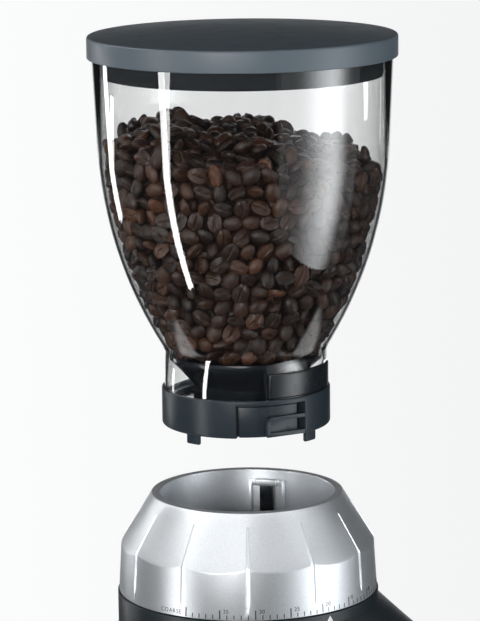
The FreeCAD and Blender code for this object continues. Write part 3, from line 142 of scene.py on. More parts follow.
class Finish:
    """One material, lamp or world, and its nodes."""

    def __init__(self, owner):
        owner.use_nodes = True
        self.owner = owner
        self.tree = owner.node_tree
        self.tree.nodes.clear()

    def add(self, kind, settings=None, sockets=None):
        node = self.tree.nodes.new(kind)
        for name, value in (settings or {}).items():
            setattr(node, name, value)
        for name, value in (sockets or {}).items():
            socket = node.inputs[name]
            if isinstance(value, Wire):
                value = value.socket
            if isinstance(value, bpy.types.NodeSocket):
                self.tree.links.new(value, socket)
            else:
                socket.default_value = value
        return node

    def place(self, stretch=(1.0, 1.0, 1.0)):
        """Object coordinates in metres, stretched along each axis."""
        coordinates = self.add("ShaderNodeTexCoord").outputs["Object"]
        mapping = self.add("ShaderNodeMapping", None, {"Vector": coordinates, "Scale": stretch})
        return mapping.outputs["Vector"]

    def along(self, place, direction):
        """How far a place lies along a direction."""
        node = self.add("ShaderNodeVectorMath", {"operation": "DOT_PRODUCT"}, {0: place, 1: direction})
        return Wire(self, node.outputs["Value"])

    def attribute(self, name):
        """A number that the mesh carries at each corner."""
        return Wire(self, self.add("ShaderNodeAttribute", {"attribute_name": name}).outputs["Fac"])

    def ray(self, fact):
        """One fact about the ray that meets the surface."""
        return Wire(self, self.add("ShaderNodeLightPath").outputs[fact])

    def noise(self, scale, detail=2.0, roughness=0.5, place=None):
        """Soft noise from nought to one; scale counts lumps in a metre."""
        node = self.add("ShaderNodeTexNoise", None, {"Vector": place or self.place(), "Scale": scale,
                                                     "Detail": detail, "Roughness": roughness})
        return Wire(self, node.outputs["Fac"])

    def blend(self, share, first, second):
        """A colour between two others."""
        node = self.add("ShaderNodeMix", {"data_type": "RGBA"}, {0: share, 6: first, 7: second})
        return node.outputs[2]

    def mix(self, share, first, second):
        """A surface between two others."""
        return self.add("ShaderNodeMixShader", None, {0: share, 1: first, 2: second}).outputs[0]

    def bump(self, height, strength, distance):
        node = self.add("ShaderNodeBump", None, {"Height": height, "Strength": strength,
                                                 "Distance": distance})
        return node.outputs["Normal"]

    def surface(self, sockets):
        return self.add("ShaderNodeBsdfPrincipled", None, sockets).outputs[0]

    def show(self, shader, kind="ShaderNodeOutputMaterial"):
        self.add(kind, None, {"Surface": shader})
        return self.owner


def material(name):
    return Finish(bpy.data.materials.new(name))


def shade(red, green, blue):
    return (red, green, blue, 1.0)


# Depth of the fine grain in moulded and cast surfaces, in metres
GRAIN_DEPTH = 0.0002


def moulded_plastic(name, dark, light, gloss, grain, shine=0.5):
    """Moulded plastic: a fine spark texture, faint mottling and handling marks in its sheen."""
    finish = material(name)
    mottle = finish.noise(28.0, 4.0)
    texture = finish.noise(2600.0, 2.0)
    marks = finish.noise(90.0, 6.0, 0.65).between(0.45, 0.75)
    colour = finish.blend(mottle, dark, light)
    sheen = gloss + 0.10 * marks - 0.05 * mottle
    return finish.show(finish.surface({
        "Base Color": colour,
        "Roughness": sheen,
        "Normal": finish.bump(texture, grain, GRAIN_DEPTH),
        "Specular IOR Level": shine,
    }))


def cast_metal(name, dark, light, gloss, grain):
    """Bead-blasted cast metal: fine sparkle, soft clouds and rubbed high spots."""
    finish = material(name)
    grains = finish.noise(3800.0, 2.0, 0.7)
    clouds = finish.noise(45.0, 5.0, 0.6)
    colour = finish.blend(grains.between(0.3, 0.7), dark, light)
    sheen = gloss + 0.10 * clouds - 0.08 * grains
    return finish.show(finish.surface({
        "Base Color": colour,
        "Metallic": 0.80,
        "Roughness": sheen,
        "Normal": finish.bump(grains, grain, GRAIN_DEPTH),
    }))


def drawn_metal(name, dark, light, gloss, stretch):
    """Ground or brushed metal with lines along one direction."""
    finish = material(name)
    lines = finish.noise(900.0, 3.0, 0.6, finish.place(stretch))
    clouds = finish.noise(60.0, 3.0)
    colour = finish.blend(lines, dark, light)
    sheen = gloss + 0.12 * lines + 0.06 * clouds
    return finish.show(finish.surface({
        "Base Color": colour,
        "Metallic": 1.0,
        "Roughness": sheen,
        "Normal": finish.bump(lines, 0.12, 0.0001),
    }))


def clear_plastic(name):
    """Polished clear plastic that lets the lamps through to the beans."""
    finish = material(name)
    smears = finish.noise(55.0, 5.0, 0.6).between(0.5, 0.8)
    ripple = finish.noise(30.0, 2.0)
    clear = finish.surface({
        "Base Color": shade(0.985, 0.99, 0.99),
        "Roughness": 0.006 + 0.03 * smears,
        "IOR": 1.46,
        "Transmission Weight": 1.0,
        "Coat Weight": 0.6,
        "Coat Roughness": 0.01,
        "Normal": finish.bump(ripple, 0.05, 0.001),
    })
    passing = finish.add("ShaderNodeBsdfTransparent", None, {"Color": shade(0.93, 0.94, 0.94)}).outputs[0]
    return finish.show(finish.mix(finish.ray("Is Shadow Ray"), clear, passing))


def roasted(name):
    """Oily roasted beans: each its own brown, with a paler line of skin in the crease."""
    finish = material(name)
    tone = finish.attribute("bean_tone")
    crease = finish.attribute("bean_crease")
    mottle = finish.noise(380.0, 4.0, 0.6)
    pits = finish.noise(1500.0, 2.0)
    brown = finish.blend((tone * 0.95 + mottle * 0.16).at_most(1.0), shade(0.0045, 0.0023, 0.0018),
                         shade(0.078, 0.0275, 0.0108))
    skin = finish.blend(crease.between(0.55, 0.95) * mottle.between(0.35, 0.6), brown,
                        shade(0.085, 0.043, 0.026))
    return finish.show(finish.surface({
        "Base Color": skin,
        "Roughness": 0.34 + 0.22 * mottle + 0.15 * crease,
        "Normal": finish.bump(pits, 0.25, 0.0004),
        "Specular IOR Level": 0.36,
    }))


def soft_rubber(name, dark, light):
    finish = material(name)
    dust = finish.noise(140.0, 6.0, 0.7).between(0.4, 0.8)
    texture = finish.noise(1800.0, 2.0)
    return finish.show(finish.surface({
        "Base Color": finish.blend(dust, dark, light),
        "Roughness": 0.62 + 0.2 * dust,
        "Normal": finish.bump(texture, 0.12, GRAIN_DEPTH),
        "Specular IOR Level": 0.15,
    }))


def printed_ink(name, colour, worn):
    """Printed marks, a little thin here and there."""
    finish = material(name)
    thin = finish.noise(1400.0, 3.0).between(0.5, 0.85)
    return finish.show(finish.surface({
        "Base Color": finish.blend(thin, colour, worn),
        "Roughness": 0.5 + 0.15 * thin,
    }))


def coated_board(name):
    finish = material(name)
    weave = finish.noise(700.0, 3.0)
    return finish.show(finish.surface({
        "Base Color": finish.blend(weave, shade(0.015, 0.10, 0.04), shade(0.035, 0.19, 0.085)),
        "Roughness": 0.3 + 0.15 * weave,
    }))


LID_GREY = moulded_plastic("lid_plastic", shade(0.088, 0.113, 0.134), shade(0.100, 0.127, 0.149),
                           0.42, 0.10)
COLLAR_BLACK = moulded_plastic("collar_plastic", shade(0.019, 0.028, 0.035), shade(0.024, 0.034, 0.042),
                               0.36, 0.12, 0.32)
HOUSING_BLACK = moulded_plastic("housing_plastic", shade(0.014, 0.020, 0.024), shade(0.018, 0.025, 0.030),
                                0.38, 0.14, 0.4)
GRIP_BLACK = moulded_plastic("grip_plastic", shade(0.008, 0.010, 0.013), shade(0.011, 0.014, 0.017),
                             0.27, 0.03)
GLOSS_BLACK = moulded_plastic("polished_plastic", shade(0.006, 0.007, 0.009), shade(0.009, 0.011, 0.013),
                              0.20, 0.01)
GEAR_PLASTIC = moulded_plastic("gear_plastic", shade(0.70, 0.69, 0.64), shade(0.80, 0.79, 0.75),
                               0.40, 0.05)
CAST_SILVER = cast_metal("cast_silver", shade(0.60, 0.625, 0.65), shade(0.84, 0.865, 0.89), 0.34, 0.30)
BRIGHT_STEEL = drawn_metal("bright_steel", shade(0.66, 0.67, 0.68), shade(0.78, 0.79, 0.80), 0.12,
                           (1.0, 1.0, 0.2))
GROUND_STEEL = drawn_metal("ground_steel", shade(0.46, 0.47, 0.48), shade(0.62, 0.63, 0.64), 0.26,
                           (1.0, 1.0, 0.05))
TRAY_STEEL = drawn_metal("tray_steel", shade(0.46, 0.47, 0.48), shade(0.60, 0.61, 0.62), 0.28,
                         (0.05, 1.0, 1.0))
MOTOR_STEEL = drawn_metal("motor_steel", shade(0.36, 0.37, 0.38), shade(0.48, 0.49, 0.50), 0.34,
                          (1.0, 1.0, 0.1))
CLEAR = clear_plastic("clear_plastic")
BEANS = roasted("roasted_beans")
SEAL_BLACK = soft_rubber("seal_rubber", shade(0.010, 0.012, 0.014), shade(0.016, 0.018, 0.020))
FOOT_RUBBER = soft_rubber("foot_rubber", shade(0.018, 0.019, 0.021), shade(0.035, 0.036, 0.038))
BOARD_GREEN = coated_board("board")
BLACK_INK = printed_ink("black_ink", shade(0.012, 0.014, 0.016), shade(0.04, 0.042, 0.045))
WHITE_INK = printed_ink("white_ink", shade(0.80, 0.81, 0.82), shade(0.62, 0.63, 0.64))

SLOT_FINISH = {
    "lid_black": LID_GREY,
    "seal_black": SEAL_BLACK,
    "clear_bowl": CLEAR,
    "roasted_beans": BEANS,
    "gloss_black": GLOSS_BLACK,
    "collar_black": COLLAR_BLACK,
    "cast_silver": CAST_SILVER,
    "housing_black": HOUSING_BLACK,
    "ground_steel": GROUND_STEEL,
    "bright_steel": BRIGHT_STEEL,
    "gear_plastic": GEAR_PLASTIC,
    "motor_steel": MOTOR_STEEL,
    "board_green": BOARD_GREEN,
    "foot_rubber": FOOT_RUBBER,
    "tray_steel": TRAY_STEEL,
}


# Modelling steps


def clear_selection():
    """Leave edit mode with nothing selected."""
    if bpy.context.object and bpy.context.object.mode != "OBJECT":
        bpy.ops.object.mode_set(mode="OBJECT")
    bpy.ops.object.select_all(action="DESELECT")


def take(piece):
    """Make a piece the only one that the next operator acts on."""
    clear_selection()
    piece.select_set(True)
    bpy.context.view_layer.objects.active = piece


def discard(piece):
    """Remove a piece and its mesh."""
    mesh = piece.data
    bpy.data.objects.remove(piece)
    bpy.data.meshes.remove(mesh)


def joined(name, pieces):
    """Make one piece of several."""
    take(pieces[0])
    for piece in pieces:
        piece.select_set(True)
    bpy.ops.object.join()
    whole = bpy.context.object
    whole.name = name
    return whole


def rounded(corners, bend=5):
    """Put an arc at each corner that carries a radius as its third value."""
    outline = []
    count = len(corners)
    for number, corner in enumerate(corners):
        here = Vector(corner[:2])
        if len(corner) < 3:
            outline.append(here)
            continue
        back = (Vector(corners[number - 1][:2]) - here).normalized()
        ahead = (Vector(corners[(number + 1) % count][:2]) - here).normalized()
        half = math.acos(max(-1.0, min(1.0, back.dot(ahead)))) / 2
        reach = corner[2] / math.tan(half)
        centre = here + (back + ahead).normalized() * (corner[2] / math.sin(half))
        first = here + back * reach - centre
        last = here + ahead * reach - centre
        sweep = first.angle_signed(last)
        for step in range(bend + 1):
            spoke = first.copy()
            spoke.rotate(Matrix.Rotation(-sweep * step / bend, 2))
            outline.append(centre + spoke)
    return outline


def trace(name, places, closed):
    """Pull one corner along a row of places, and leave it selected in edit mode."""
    clear_selection()
    bpy.ops.mesh.primitive_plane_add(size=MM)
    piece = bpy.context.object
    piece.name = name
    bpy.ops.object.mode_set(mode="EDIT")
    bpy.ops.mesh.merge(type="CENTER")
    bpy.ops.transform.translate(value=places[0])
    ends = places[1:] + places[:1] if closed else places[1:]
    here = places[0]
    for there in ends:
        bpy.ops.mesh.extrude_region_move(TRANSFORM_OT_translate={"value": there - here})
        here = there
    bpy.ops.mesh.select_all(action="SELECT")
    bpy.ops.mesh.remove_doubles(threshold=MERGE)
    bpy.ops.mesh.select_all(action="SELECT")
    return piece


def tidy_mesh():
    """In edit mode: merge doubles and turn every face outwards."""
    bpy.ops.mesh.select_all(action="SELECT")
    bpy.ops.mesh.remove_doubles(threshold=MERGE)
    bpy.ops.mesh.dissolve_degenerate(threshold=MERGE / 2)
    bpy.ops.mesh.select_all(action="SELECT")
    bpy.ops.mesh.normals_make_consistent(inside=False)
    bpy.ops.object.mode_set(mode="OBJECT")


def spun(name, corners, turn=0.0, span=FULL_TURN, steps=SPIN_STEPS):
    """Turn an outline of radii and heights about the grinding axis, all round or over a span."""
    outline = rounded(corners)
    closed = span < FULL_TURN or min(place.x for place in outline) > 0
    piece = trace(name, [point(place.x, place.y, turn) for place in outline], closed)
    if span < FULL_TURN:
        bpy.ops.mesh.edge_face_add()
    bpy.ops.mesh.spin(steps=steps, angle=-math.radians(span), center=(0.0, AXIS * MM, 0.0),
                      axis=(0.0, 0.0, 1.0))
    tidy_mesh()
    return piece


def lofted(name, rows):
    """Pull a closed row of corners through the rows that follow it."""
    piece = trace(name, rows[0], True)
    bpy.ops.mesh.edge_face_add()
    for before, after in zip(rows, rows[1:]):
        bpy.ops.mesh.extrude_region_move(TRANSFORM_OT_translate={"value": (0, 0, 0)})
        mesh = bmesh.from_edit_mesh(piece.data)
        for corner in mesh.verts:
            if corner.select:
                nearest = min(range(len(before)), key=lambda number: (before[number] - corner.co).length)
                corner.co = after[nearest]
        bmesh.update_edit_mesh(piece.data)
    tidy_mesh()
    return piece


def block(name, radii, heights, turn, span, steps=24):
    """A curved block between two radii and two heights."""
    (near, far), (low, high) = radii, heights
    ends = [(near, low), (far, low), (far, high), (near, high)]
    return spun(name, ends, turn, span, steps)


def apply_modifier(piece, kind, **settings):
    take(piece)
    change = piece.modifiers.new("change", kind)
    for name, value in settings.items():
        setattr(change, name, value)
    bpy.ops.object.modifier_apply(modifier=change.name)


# A slanting direction, along which hardly any two places lie level
SETTLE_ALONG = Vector((0.3173, 0.1931, 0.7307))


def settle(piece):
    """Put a mesh's parts in one order, which a cut may leave in another at each run."""
    mesh = bmesh.new()
    mesh.from_mesh(piece.data)

    def rank(places):
        middle = sum((place.co for place in places), Vector()) / len(places)
        return middle.dot(SETTLE_ALONG)

    mesh.verts.sort(key=lambda corner: rank([corner]))
    mesh.edges.sort(key=lambda edge: rank(edge.verts))
    mesh.faces.sort(key=lambda face: rank(face.verts))
    mesh.to_mesh(piece.data)
    mesh.free()


def join_in(piece, tool, operation):
    """Cut a tool out of a piece, or weld it on."""
    settle(piece)
    settle(tool)
    apply_modifier(piece, "BOOLEAN", object=tool, operation=operation, solver="EXACT")
    settle(piece)
    discard(tool)


def soften(piece, width, segments=2, limit=38.0):
    """Round the sharp edges, then shade smooth."""
    apply_modifier(piece, "BEVEL", width=width * MM, segments=segments, limit_method="ANGLE",
                   angle_limit=math.radians(limit))
    smooth(piece)


def smooth(piece, angle=32.0):
    take(piece)
    bpy.ops.object.shade_smooth_by_angle(angle=math.radians(angle))


def dress(piece, body, finish, slot, *nodes):
    """Give a finished piece its material and body, and hide the CAD nodes that it stands for. The slot is
    not used.
    """
    piece.data.materials.clear()
    piece.data.materials.append(finish)
    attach(piece, body)
    if nodes:
        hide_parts(*nodes)
    return piece


# Lid and bowl

BOWL_WALL = 1.9


def lid():
    radius = lid_high.x / MM
    bottom = lid_low.z / MM
    top = lid_high.z / MM
    crown = 4.0
    edge = 1.4
    wall = 1.6
    steps = 12
    shoulder = top - crown
    plate = shoulder - 2.6
    dome = []
    for step in range(1, steps):
        share = 1 - step / steps
        dome.append(((radius - edge) * share, shoulder + crown * (1 - share * share)))
    piece = spun("lid", [
        (0.0, plate),
        (radius - wall, plate, 0.8),
        (radius - wall, bottom, 0.3),
        (radius, bottom, 0.5),
        (radius, shoulder + 0.2, 1.3),
    ] + dome + [(0.0, top)])
    smooth(piece, 50.0)
    return dress(piece, "lid", LID_GREY, "lid_black", "hopper_lid")


def bowl_outline(inset=0.0):
    """The bowl's outside, from the neck's foot to the rim, moved inwards by an inset."""
    neck = 40.7 - inset
    foot = bowl_low.z / MM
    top = bowl_high.z / MM
    rim = bowl_high.x / MM - inset
    shoulder_radius = 72.0 - inset
    neck_top = COLLAR_BOTTOM + 37.9
    shoulder = COLLAR_BOTTOM + 132.4
    curve = 209.0 - inset
    chord = Vector((shoulder_radius - neck, shoulder - neck_top))
    middle = Vector((neck, neck_top)) + chord / 2
    rise = math.sqrt(curve * curve - chord.length_squared / 4)
    inwards = Vector((-chord.y, chord.x)).normalized()
    centre = middle + inwards * rise
    start = math.atan2(neck_top - centre.y, neck - centre.x)
    end = math.atan2(shoulder - centre.y, shoulder_radius - centre.x)
    steps = 28
    arc = []
    for step in range(steps + 1):
        angle = start + (end - start) * step / steps
        arc.append((centre.x + curve * math.cos(angle), centre.y + curve * math.sin(angle)))
    return [(neck, foot)] + arc + [(rim, top)]


def bowl():
    outside = bowl_outline()
    inside = bowl_outline(BOWL_WALL)
    first = outside[0]
    last = outside[-1]
    outline = [first + (0.5,)] + outside[1:-1] + [last + (1.1,), inside[-1] + (1.1,)]
    outline += list(reversed(inside[1:-1])) + [inside[0] + (0.5,)]
    piece = spun("bowl", outline)
    slot_top = grip_high.z / MM + 0.3
    slot_turn = 247.3
    slot_span = 131.4
    slot = block("slot", (37.0, 42.0), (first[1] - 1, slot_top), slot_turn, slot_span, 48)
    join_in(piece, slot, "DIFFERENCE")
    smooth(piece, 40.0)
    return dress(piece, "hopper", CLEAR, "clear_bowl", "hopper_bowl")


# Beans

BEAN_LENGTH = 5.5
BEAN_WIDTH = 4.1
BEAN_BACK = 3.2
BEAN_FLAT = 1.7
BEAN_SEGMENTS = 10
GROOVE_HALF_WIDTH = 0.3
GROOVE_DEPTH = 1.1
LIP_REACH = 2.8
LIP_PULL = 0.35


def one_bean():
    """A roasted bean: a long oval, domed on its back and creased along its flat side."""
    clear_selection()
    bpy.ops.mesh.primitive_uv_sphere_add(segments=BEAN_SEGMENTS, ring_count=6, radius=MM)
    bean = bpy.context.object
    bean.name = "bean"
    half_segment = math.radians(FULL_TURN / 2 / BEAN_SEGMENTS)
    turned = Matrix.Rotation(math.radians(90), 4, "Y") @ Matrix.Rotation(half_segment, 4, "Z")
    bean.data.transform(turned)
    bean.data.attributes.new("bean_crease", "FLOAT", "POINT")
    bpy.ops.object.mode_set(mode="EDIT")
    bpy.ops.transform.resize(value=(BEAN_LENGTH, BEAN_WIDTH, BEAN_BACK))
    bpy.ops.object.mode_set(mode="OBJECT")
    values = []
    for corner in bean.data.vertices:
        along, across, up = corner.co / MM
        groove = 0.0
        if up < -0.05:
            flat = max(up, -BEAN_FLAT) * (1 - 0.2 * (along / BEAN_LENGTH) ** 2)
            if abs(across) < GROOVE_HALF_WIDTH:
                groove = 1.0
                flat += GROOVE_DEPTH * (1 - (along / BEAN_LENGTH) ** 4)
            elif up < -BEAN_FLAT and abs(across) < LIP_REACH:
                across *= LIP_PULL
            up = flat
        corner.co = Vector((along, across, up)) * MM
        values.append(groove)
    bean.data.attributes["bean_crease"].data.foreach_set("value", values)
    smooth(bean, 60.0)
    return bean


def inner_radius_at(height):
    profile = bowl_outline(BOWL_WALL)
    heights = [place[1] for place in profile]
    radii = [place[0] for place in profile]
    return np.interp(height, heights, radii)


HEAP_RADIUS = 69.5
HEAP_LEVEL = 136.0
HEAP_DOME = 10.0
HEAP_TILT = 0.105


def from_view(x, y):
    """How far a place lies to the right in the photograph, and away from its viewer."""
    view = math.radians(VIEW_TURN)
    return x * math.cos(view) - y * math.sin(view), x * math.sin(view) + y * math.cos(view)


def heap_height(x, y):
    """The uneven top of the beans."""
    across, away = from_view(x, y)
    reach = np.sqrt(across ** 2 + away ** 2) / HEAP_RADIUS
    waves = 1.8 * np.sin(across * 0.13 + 0.6) + 1.6 * np.sin(away * 0.16 + across * 0.05)
    return COLLAR_BOTTOM + HEAP_LEVEL + HEAP_DOME * (1 - reach ** 2) - HEAP_TILT * across + waves


def spread(places, project, spacing, rounds):
    """Push crowded places apart and set them back on their surface."""
    no_push_on_itself = np.eye(len(places)) * 1e3
    step = 0.22
    for _ in range(rounds):
        apart = places[:, None, :] - places[None, :, :]
        distance = np.sqrt((apart ** 2).sum(-1)) + no_push_on_itself
        push = np.clip(spacing - distance, 0, None) / distance * step
        places = project(places + (apart * push[..., None]).sum(1))
    return places


# Layers of beans: depth under the wall or the top, and spacing
WALL_LAYERS = ((4.3, 8.6), (10.5, 9.4))
TOP_LAYERS = ((3.0, 8.8), (9.0, 9.6))
WALL_LOW = COLLAR_BOTTOM + 38.4
WALL_HIGH = COLLAR_BOTTOM + 150
WALL_STRAY = 1.5
TOP_STRAY = 1.6
TOP_REACH = 66
TOP_START = 63
TOP_LIMIT = 64.0


def wall_layer(chance, depth, spacing):
    """Places for the beans along the bowl's wall."""
    places = []
    height = WALL_LOW + 2.0
    row = 0
    while height < WALL_HIGH:
        radius = inner_radius_at(height) - depth
        count = int(2 * math.pi * radius / spacing)
        for number in range(count):
            angle = 2 * math.pi * (number + 0.5 * (row % 2)) / count + chance.uniform(-0.03, 0.03)
            places.append((radius * math.cos(angle), radius * math.sin(angle),
                           height + chance.uniform(-WALL_STRAY, WALL_STRAY)))
        height += spacing * 0.82
        row += 1

    def to_wall(moved):
        moved[:, 2] = np.clip(moved[:, 2], WALL_LOW, None)
        reach = np.sqrt(moved[:, 0] ** 2 + moved[:, 1] ** 2)
        moved[:, :2] *= ((inner_radius_at(moved[:, 2]) - depth) / reach)[:, None]
        return moved

    return spread(np.array(places), to_wall, spacing, 30)


def top_layer(chance, depth, spacing):
    """Places for the beans over the top of the heap."""
    places = []
    row_gap = spacing * 0.87
    for across in np.arange(-TOP_REACH, TOP_REACH + 1, spacing):
        for away in np.arange(-TOP_REACH, TOP_REACH + 1, row_gap):
            shift = spacing / 2 if int(round(away / row_gap)) % 2 else 0.0
            if math.hypot(across + shift, away) < TOP_START:
                places.append((across + shift + chance.uniform(-TOP_STRAY, TOP_STRAY),
                               away + chance.uniform(-TOP_STRAY, TOP_STRAY), 0.0))

    def to_top(moved):
        reach = np.sqrt(moved[:, 0] ** 2 + moved[:, 1] ** 2)
        moved[:, :2] *= np.minimum(1, TOP_LIMIT / np.maximum(reach, 1e-6))[:, None]
        moved[:, 2] = heap_height(moved[:, 0], moved[:, 1]) - depth
        return moved

    return spread(to_top(np.array(places)), to_top, spacing, 20)


def bean_places(chance):
    """Places for the beans that show, each with whether it lies along the wall."""
    found = []
    for depth, spacing in WALL_LAYERS:
        found += [(place, True) for place in wall_layer(chance, depth, spacing)]
    for depth, spacing in TOP_LAYERS:
        found += [(place, False) for place in top_layer(chance, depth, spacing)]
    return found


CORE_DEPTH = 13.5


def bean_core():
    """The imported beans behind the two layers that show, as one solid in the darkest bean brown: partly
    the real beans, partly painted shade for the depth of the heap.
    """
    low = COLLAR_BOTTOM + 40.0
    high = COLLAR_BOTTOM + 128.0
    outline = [(0.0, low)]
    for height in np.linspace(low, high, 12):
        outline.append((float(inner_radius_at(height)) - CORE_DEPTH, float(height)))
    outline.append((0.0, high + 8.0))
    core = spun("core", outline, steps=48)
    core.data.attributes.new("bean_crease", "FLOAT", "POINT")
    # bean_tone stays nought here, the darkest bean brown: painted shade for the beans deep in the heap
    core.data.attributes.new("bean_tone", "FLOAT", "POINT")
    return core


BEAN_LEAN = 0.42
CREASE_OUT_SHARE = 0.55


def any_direction(chance):
    return Vector((chance.gauss(0, 1), chance.gauss(0, 1), chance.gauss(0, 1)))


def beans():
    chance = random.Random(7)
    first = one_bean()
    copies = []
    for place, at_wall in bean_places(chance):
        reach = math.hypot(place[0], place[1])
        if at_wall and place[2] > heap_height(place[0], place[1]) - 2.0:
            continue
        if at_wall:
            slope = (inner_radius_at(place[2] + 1) - inner_radius_at(place[2] - 1)) / 2
            out = Vector((place[0] / reach, place[1] / reach, -slope)).normalized()
        else:
            out = Vector((0.0, 0.0, 1.0))
        face = (out + any_direction(chance) * BEAN_LEAN).normalized()
        if chance.random() < CREASE_OUT_SHARE:
            face.negate()
        along = any_direction(chance)
        along = (along - face * along.dot(face)).normalized()
        across = face.cross(along)
        size = chance.uniform(0.86, 1.06)
        turn = Matrix((along, across, face)).transposed()
        centre = Vector(place)
        if at_wall:
            axes = ((BEAN_LENGTH, along), (BEAN_WIDTH, across), (BEAN_BACK, face))
            stick = math.sqrt(sum((half * size * axis.dot(out)) ** 2 for half, axis in axes))
            room = inner_radius_at(place[2]) - reach
            back = max(0.0, stick + 0.2 - room * out.xy.length)
            centre = centre - out * back
        spot = Matrix.Translation(Vector((centre.x, centre.y + AXIS, centre.z)) * MM)
        copy = first.copy()
        copy.data = first.data.copy()
        copy.data.transform(spot @ (turn * size).to_4x4())
        tone = copy.data.attributes.new("bean_tone", "FLOAT", "POINT")
        tone.data.foreach_set("value", [chance.betavariate(0.9, 3.6)] * len(copy.data.vertices))
        scene.collection.objects.link(copy)
        copies.append(copy)
    discard(first)
    heap = joined("bean_heap", copies + [bean_core()])
    return dress(heap, "hopper", BEANS, "roasted_beans", "bean_charge")


# Collar, lock lever and shutter grip

COLLAR_RADIUS = 42.1
PAST_COLLAR = 44.0
WINDOW_TURN = 225.5
WINDOW_SPAN = 51.0
TABS = 4
TAB_TURN = 186.9
TAB_SPAN = 11.5
TAB_RADII = (39.4, 41.6)


def collar():
    bottom = COLLAR_BOTTOM
    top = collar_high.z / MM
    seat = top - 1.8
    shelf = bottom + 11.7
    bore = 31.9
    ledge = 34.9
    rim = 41.0
    window_top = bottom + 16.4
    below = bottom - 2
    gap = (36.4, 39.5)
    piece = spun("collar", [
        (bore, bottom, 0.5),
        (COLLAR_RADIUS, bottom, 1.2),
        (COLLAR_RADIUS, top, 1.0),
        (rim, top),
        (rim, seat),
        (ledge, seat),
        (ledge, shelf),
        (bore, shelf),
    ])
    cutters = [
        block("window", (38.5, PAST_COLLAR), (below, window_top), WINDOW_TURN, WINDOW_SPAN),
        block("pocket", (36.0, 40.0), (bottom + 2.0, window_top), WINDOW_TURN + 47.4, 3.6, 6),
        block("shadow_gap", gap, (bottom + 15.0, bottom + 16.1), 226.1, 49.8),
        block("side_gap", gap, (bottom - 2.6, bottom + 15.6), 225.9, 1.3, 4),
        block("recess", (38.7, PAST_COLLAR), (below, bottom + 17.5), 22.8, 30.8),
    ]
    for cutter in cutters:
        join_in(piece, cutter, "DIFFERENCE")
    for number in range(TABS):
        turn = TAB_TURN + FULL_TURN / TABS * number
        tab = block("tab", TAB_RADII, (bottom - TAB_DROP, bottom + 2.0), turn, TAB_SPAN, 8)
        soften(tab, 0.9, 3)
        join_in(piece, tab, "UNION")
    soften(piece, 0.3)
    return dress(piece, "hopper", COLLAR_BLACK, "collar_black", "hopper_collar")


def pad(name, corners, radii):
    """A curved pad from corners given by turn, height and rounding."""
    scale = math.radians(1.0) * radii[1]
    outline = rounded([(corner[0] * scale,) + tuple(corner[1:]) for corner in corners])
    rows = [[point(radius, place.y, place.x / scale) for place in outline] for radius in radii]
    return lofted(name, rows)


LEVER_DROP = 3.4
LEVER_SPAN = 30.0
LEVER_GAP = 0.6


def lever():
    bottom = lever_low.z / MM
    top = lever_high.z / MM - LEVER_DROP
    end = WINDOW_TURN + WINDOW_SPAN - LEVER_GAP
    start = end - LEVER_SPAN
    hollow_start = start + 2.6
    hollow_end = end + 4.0
    sill = bottom + 2.0
    head = top - 1.8
    piece = pad("lever", [
        (start, bottom, 0.8),
        (end, bottom),
        (end, top),
        (start, top, 3.4),
    ], (38.9, COLLAR_RADIUS))
    hollow = pad("hollow", [
        (hollow_start, sill, 0.6),
        (hollow_end, sill),
        (hollow_end, head),
        (hollow_start, head, 2.2),
    ], (39.9, PAST_COLLAR))
    join_in(piece, hollow, "DIFFERENCE")
    opening = block("opening", (38.0, PAST_COLLAR), (sill, head), end - 3.4, 8.0, 8)
    join_in(piece, opening, "DIFFERENCE")
    soften(piece, 0.35, 3)
    return dress(piece, "lock", COLLAR_BLACK, "collar_black", "lock_lever")


GRIP_TURN = 248.5
GRIP_SPAN = 69.0


def grip():
    bottom = grip_low.z / MM
    top = grip_high.z / MM
    piece = block("grip", (37.8, 41.4), (bottom, top), GRIP_TURN, GRIP_SPAN, 40)
    soften(piece, 0.9, 4)
    return dress(piece, "shutter", GRIP_BLACK, "gloss_black", "shutter_grip")


# Start button's spring

SPRING_WIRE = 0.35
SPRING_TURNS = 3
SPRING_STEPS = 20
WIRE_SIDES = 10


def spring():
    """The start button's coil."""
    centre = (spring_low + spring_high) / 2
    wire = SPRING_WIRE * MM
    radius = (spring_high.x - spring_low.x) / 2 - wire
    length = spring_high.y - spring_low.y
    steps = SPRING_TURNS * SPRING_STEPS
    climb = (length - 2 * wire) / steps
    angles = [math.tau * side / WIRE_SIDES for side in range(WIRE_SIDES)]
    rows = []
    for step in range(steps + 1):
        turn = math.tau * step / SPRING_STEPS
        outwards = Vector((math.cos(turn), 0.0, -math.sin(turn)))
        ahead = Vector((-radius * math.sin(turn), climb * SPRING_STEPS / math.tau,
                        -radius * math.cos(turn)))
        side = outwards.cross(ahead.normalized())
        middle = Vector((centre.x, spring_low.y + wire + climb * step, centre.z)) + outwards * radius
        rows.append([middle + (outwards * math.cos(angle) + side * math.sin(angle)) * wire
                     for angle in angles])
    piece = lofted("coil", rows)
    smooth(piece)
    dress(piece, "housing", BRIGHT_STEEL, "bright_steel", "button_spring")
    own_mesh(piece)
    return piece


# Adjusting ring with its flutes and printed scale

RING_SHOULDER = 25.2
SHOULDER_RADIUS = 63.7
RIM_RADIUS = 48.1
BORE_RADIUS = 43.9
PANELS = 12
PANEL_SPAN = FULL_TURN / PANELS
PANEL_SAG = 2.0
RING_WALL = 4.0
FLUTE_PROUD = 2.0


def wall_radius(height):
    """The ring's outside below its shoulder leans in a little."""
    return RING_RADIUS + (SHOULDER_RADIUS - RING_RADIUS) * (height - RING_BOTTOM) / RING_SHOULDER


def sag(turn, height):
    """The shoulder dips between two flutes, less towards the rim."""
    aside = (turn - NEAR_SIDE) % PANEL_SPAN / PANEL_SPAN * 2 - 1
    share = (RING_TOP - height) / (RING_TOP - RING_BOTTOM - RING_SHOULDER)
    return PANEL_SAG * (1 - aside * aside) * max(0.0, min(1.0, share))


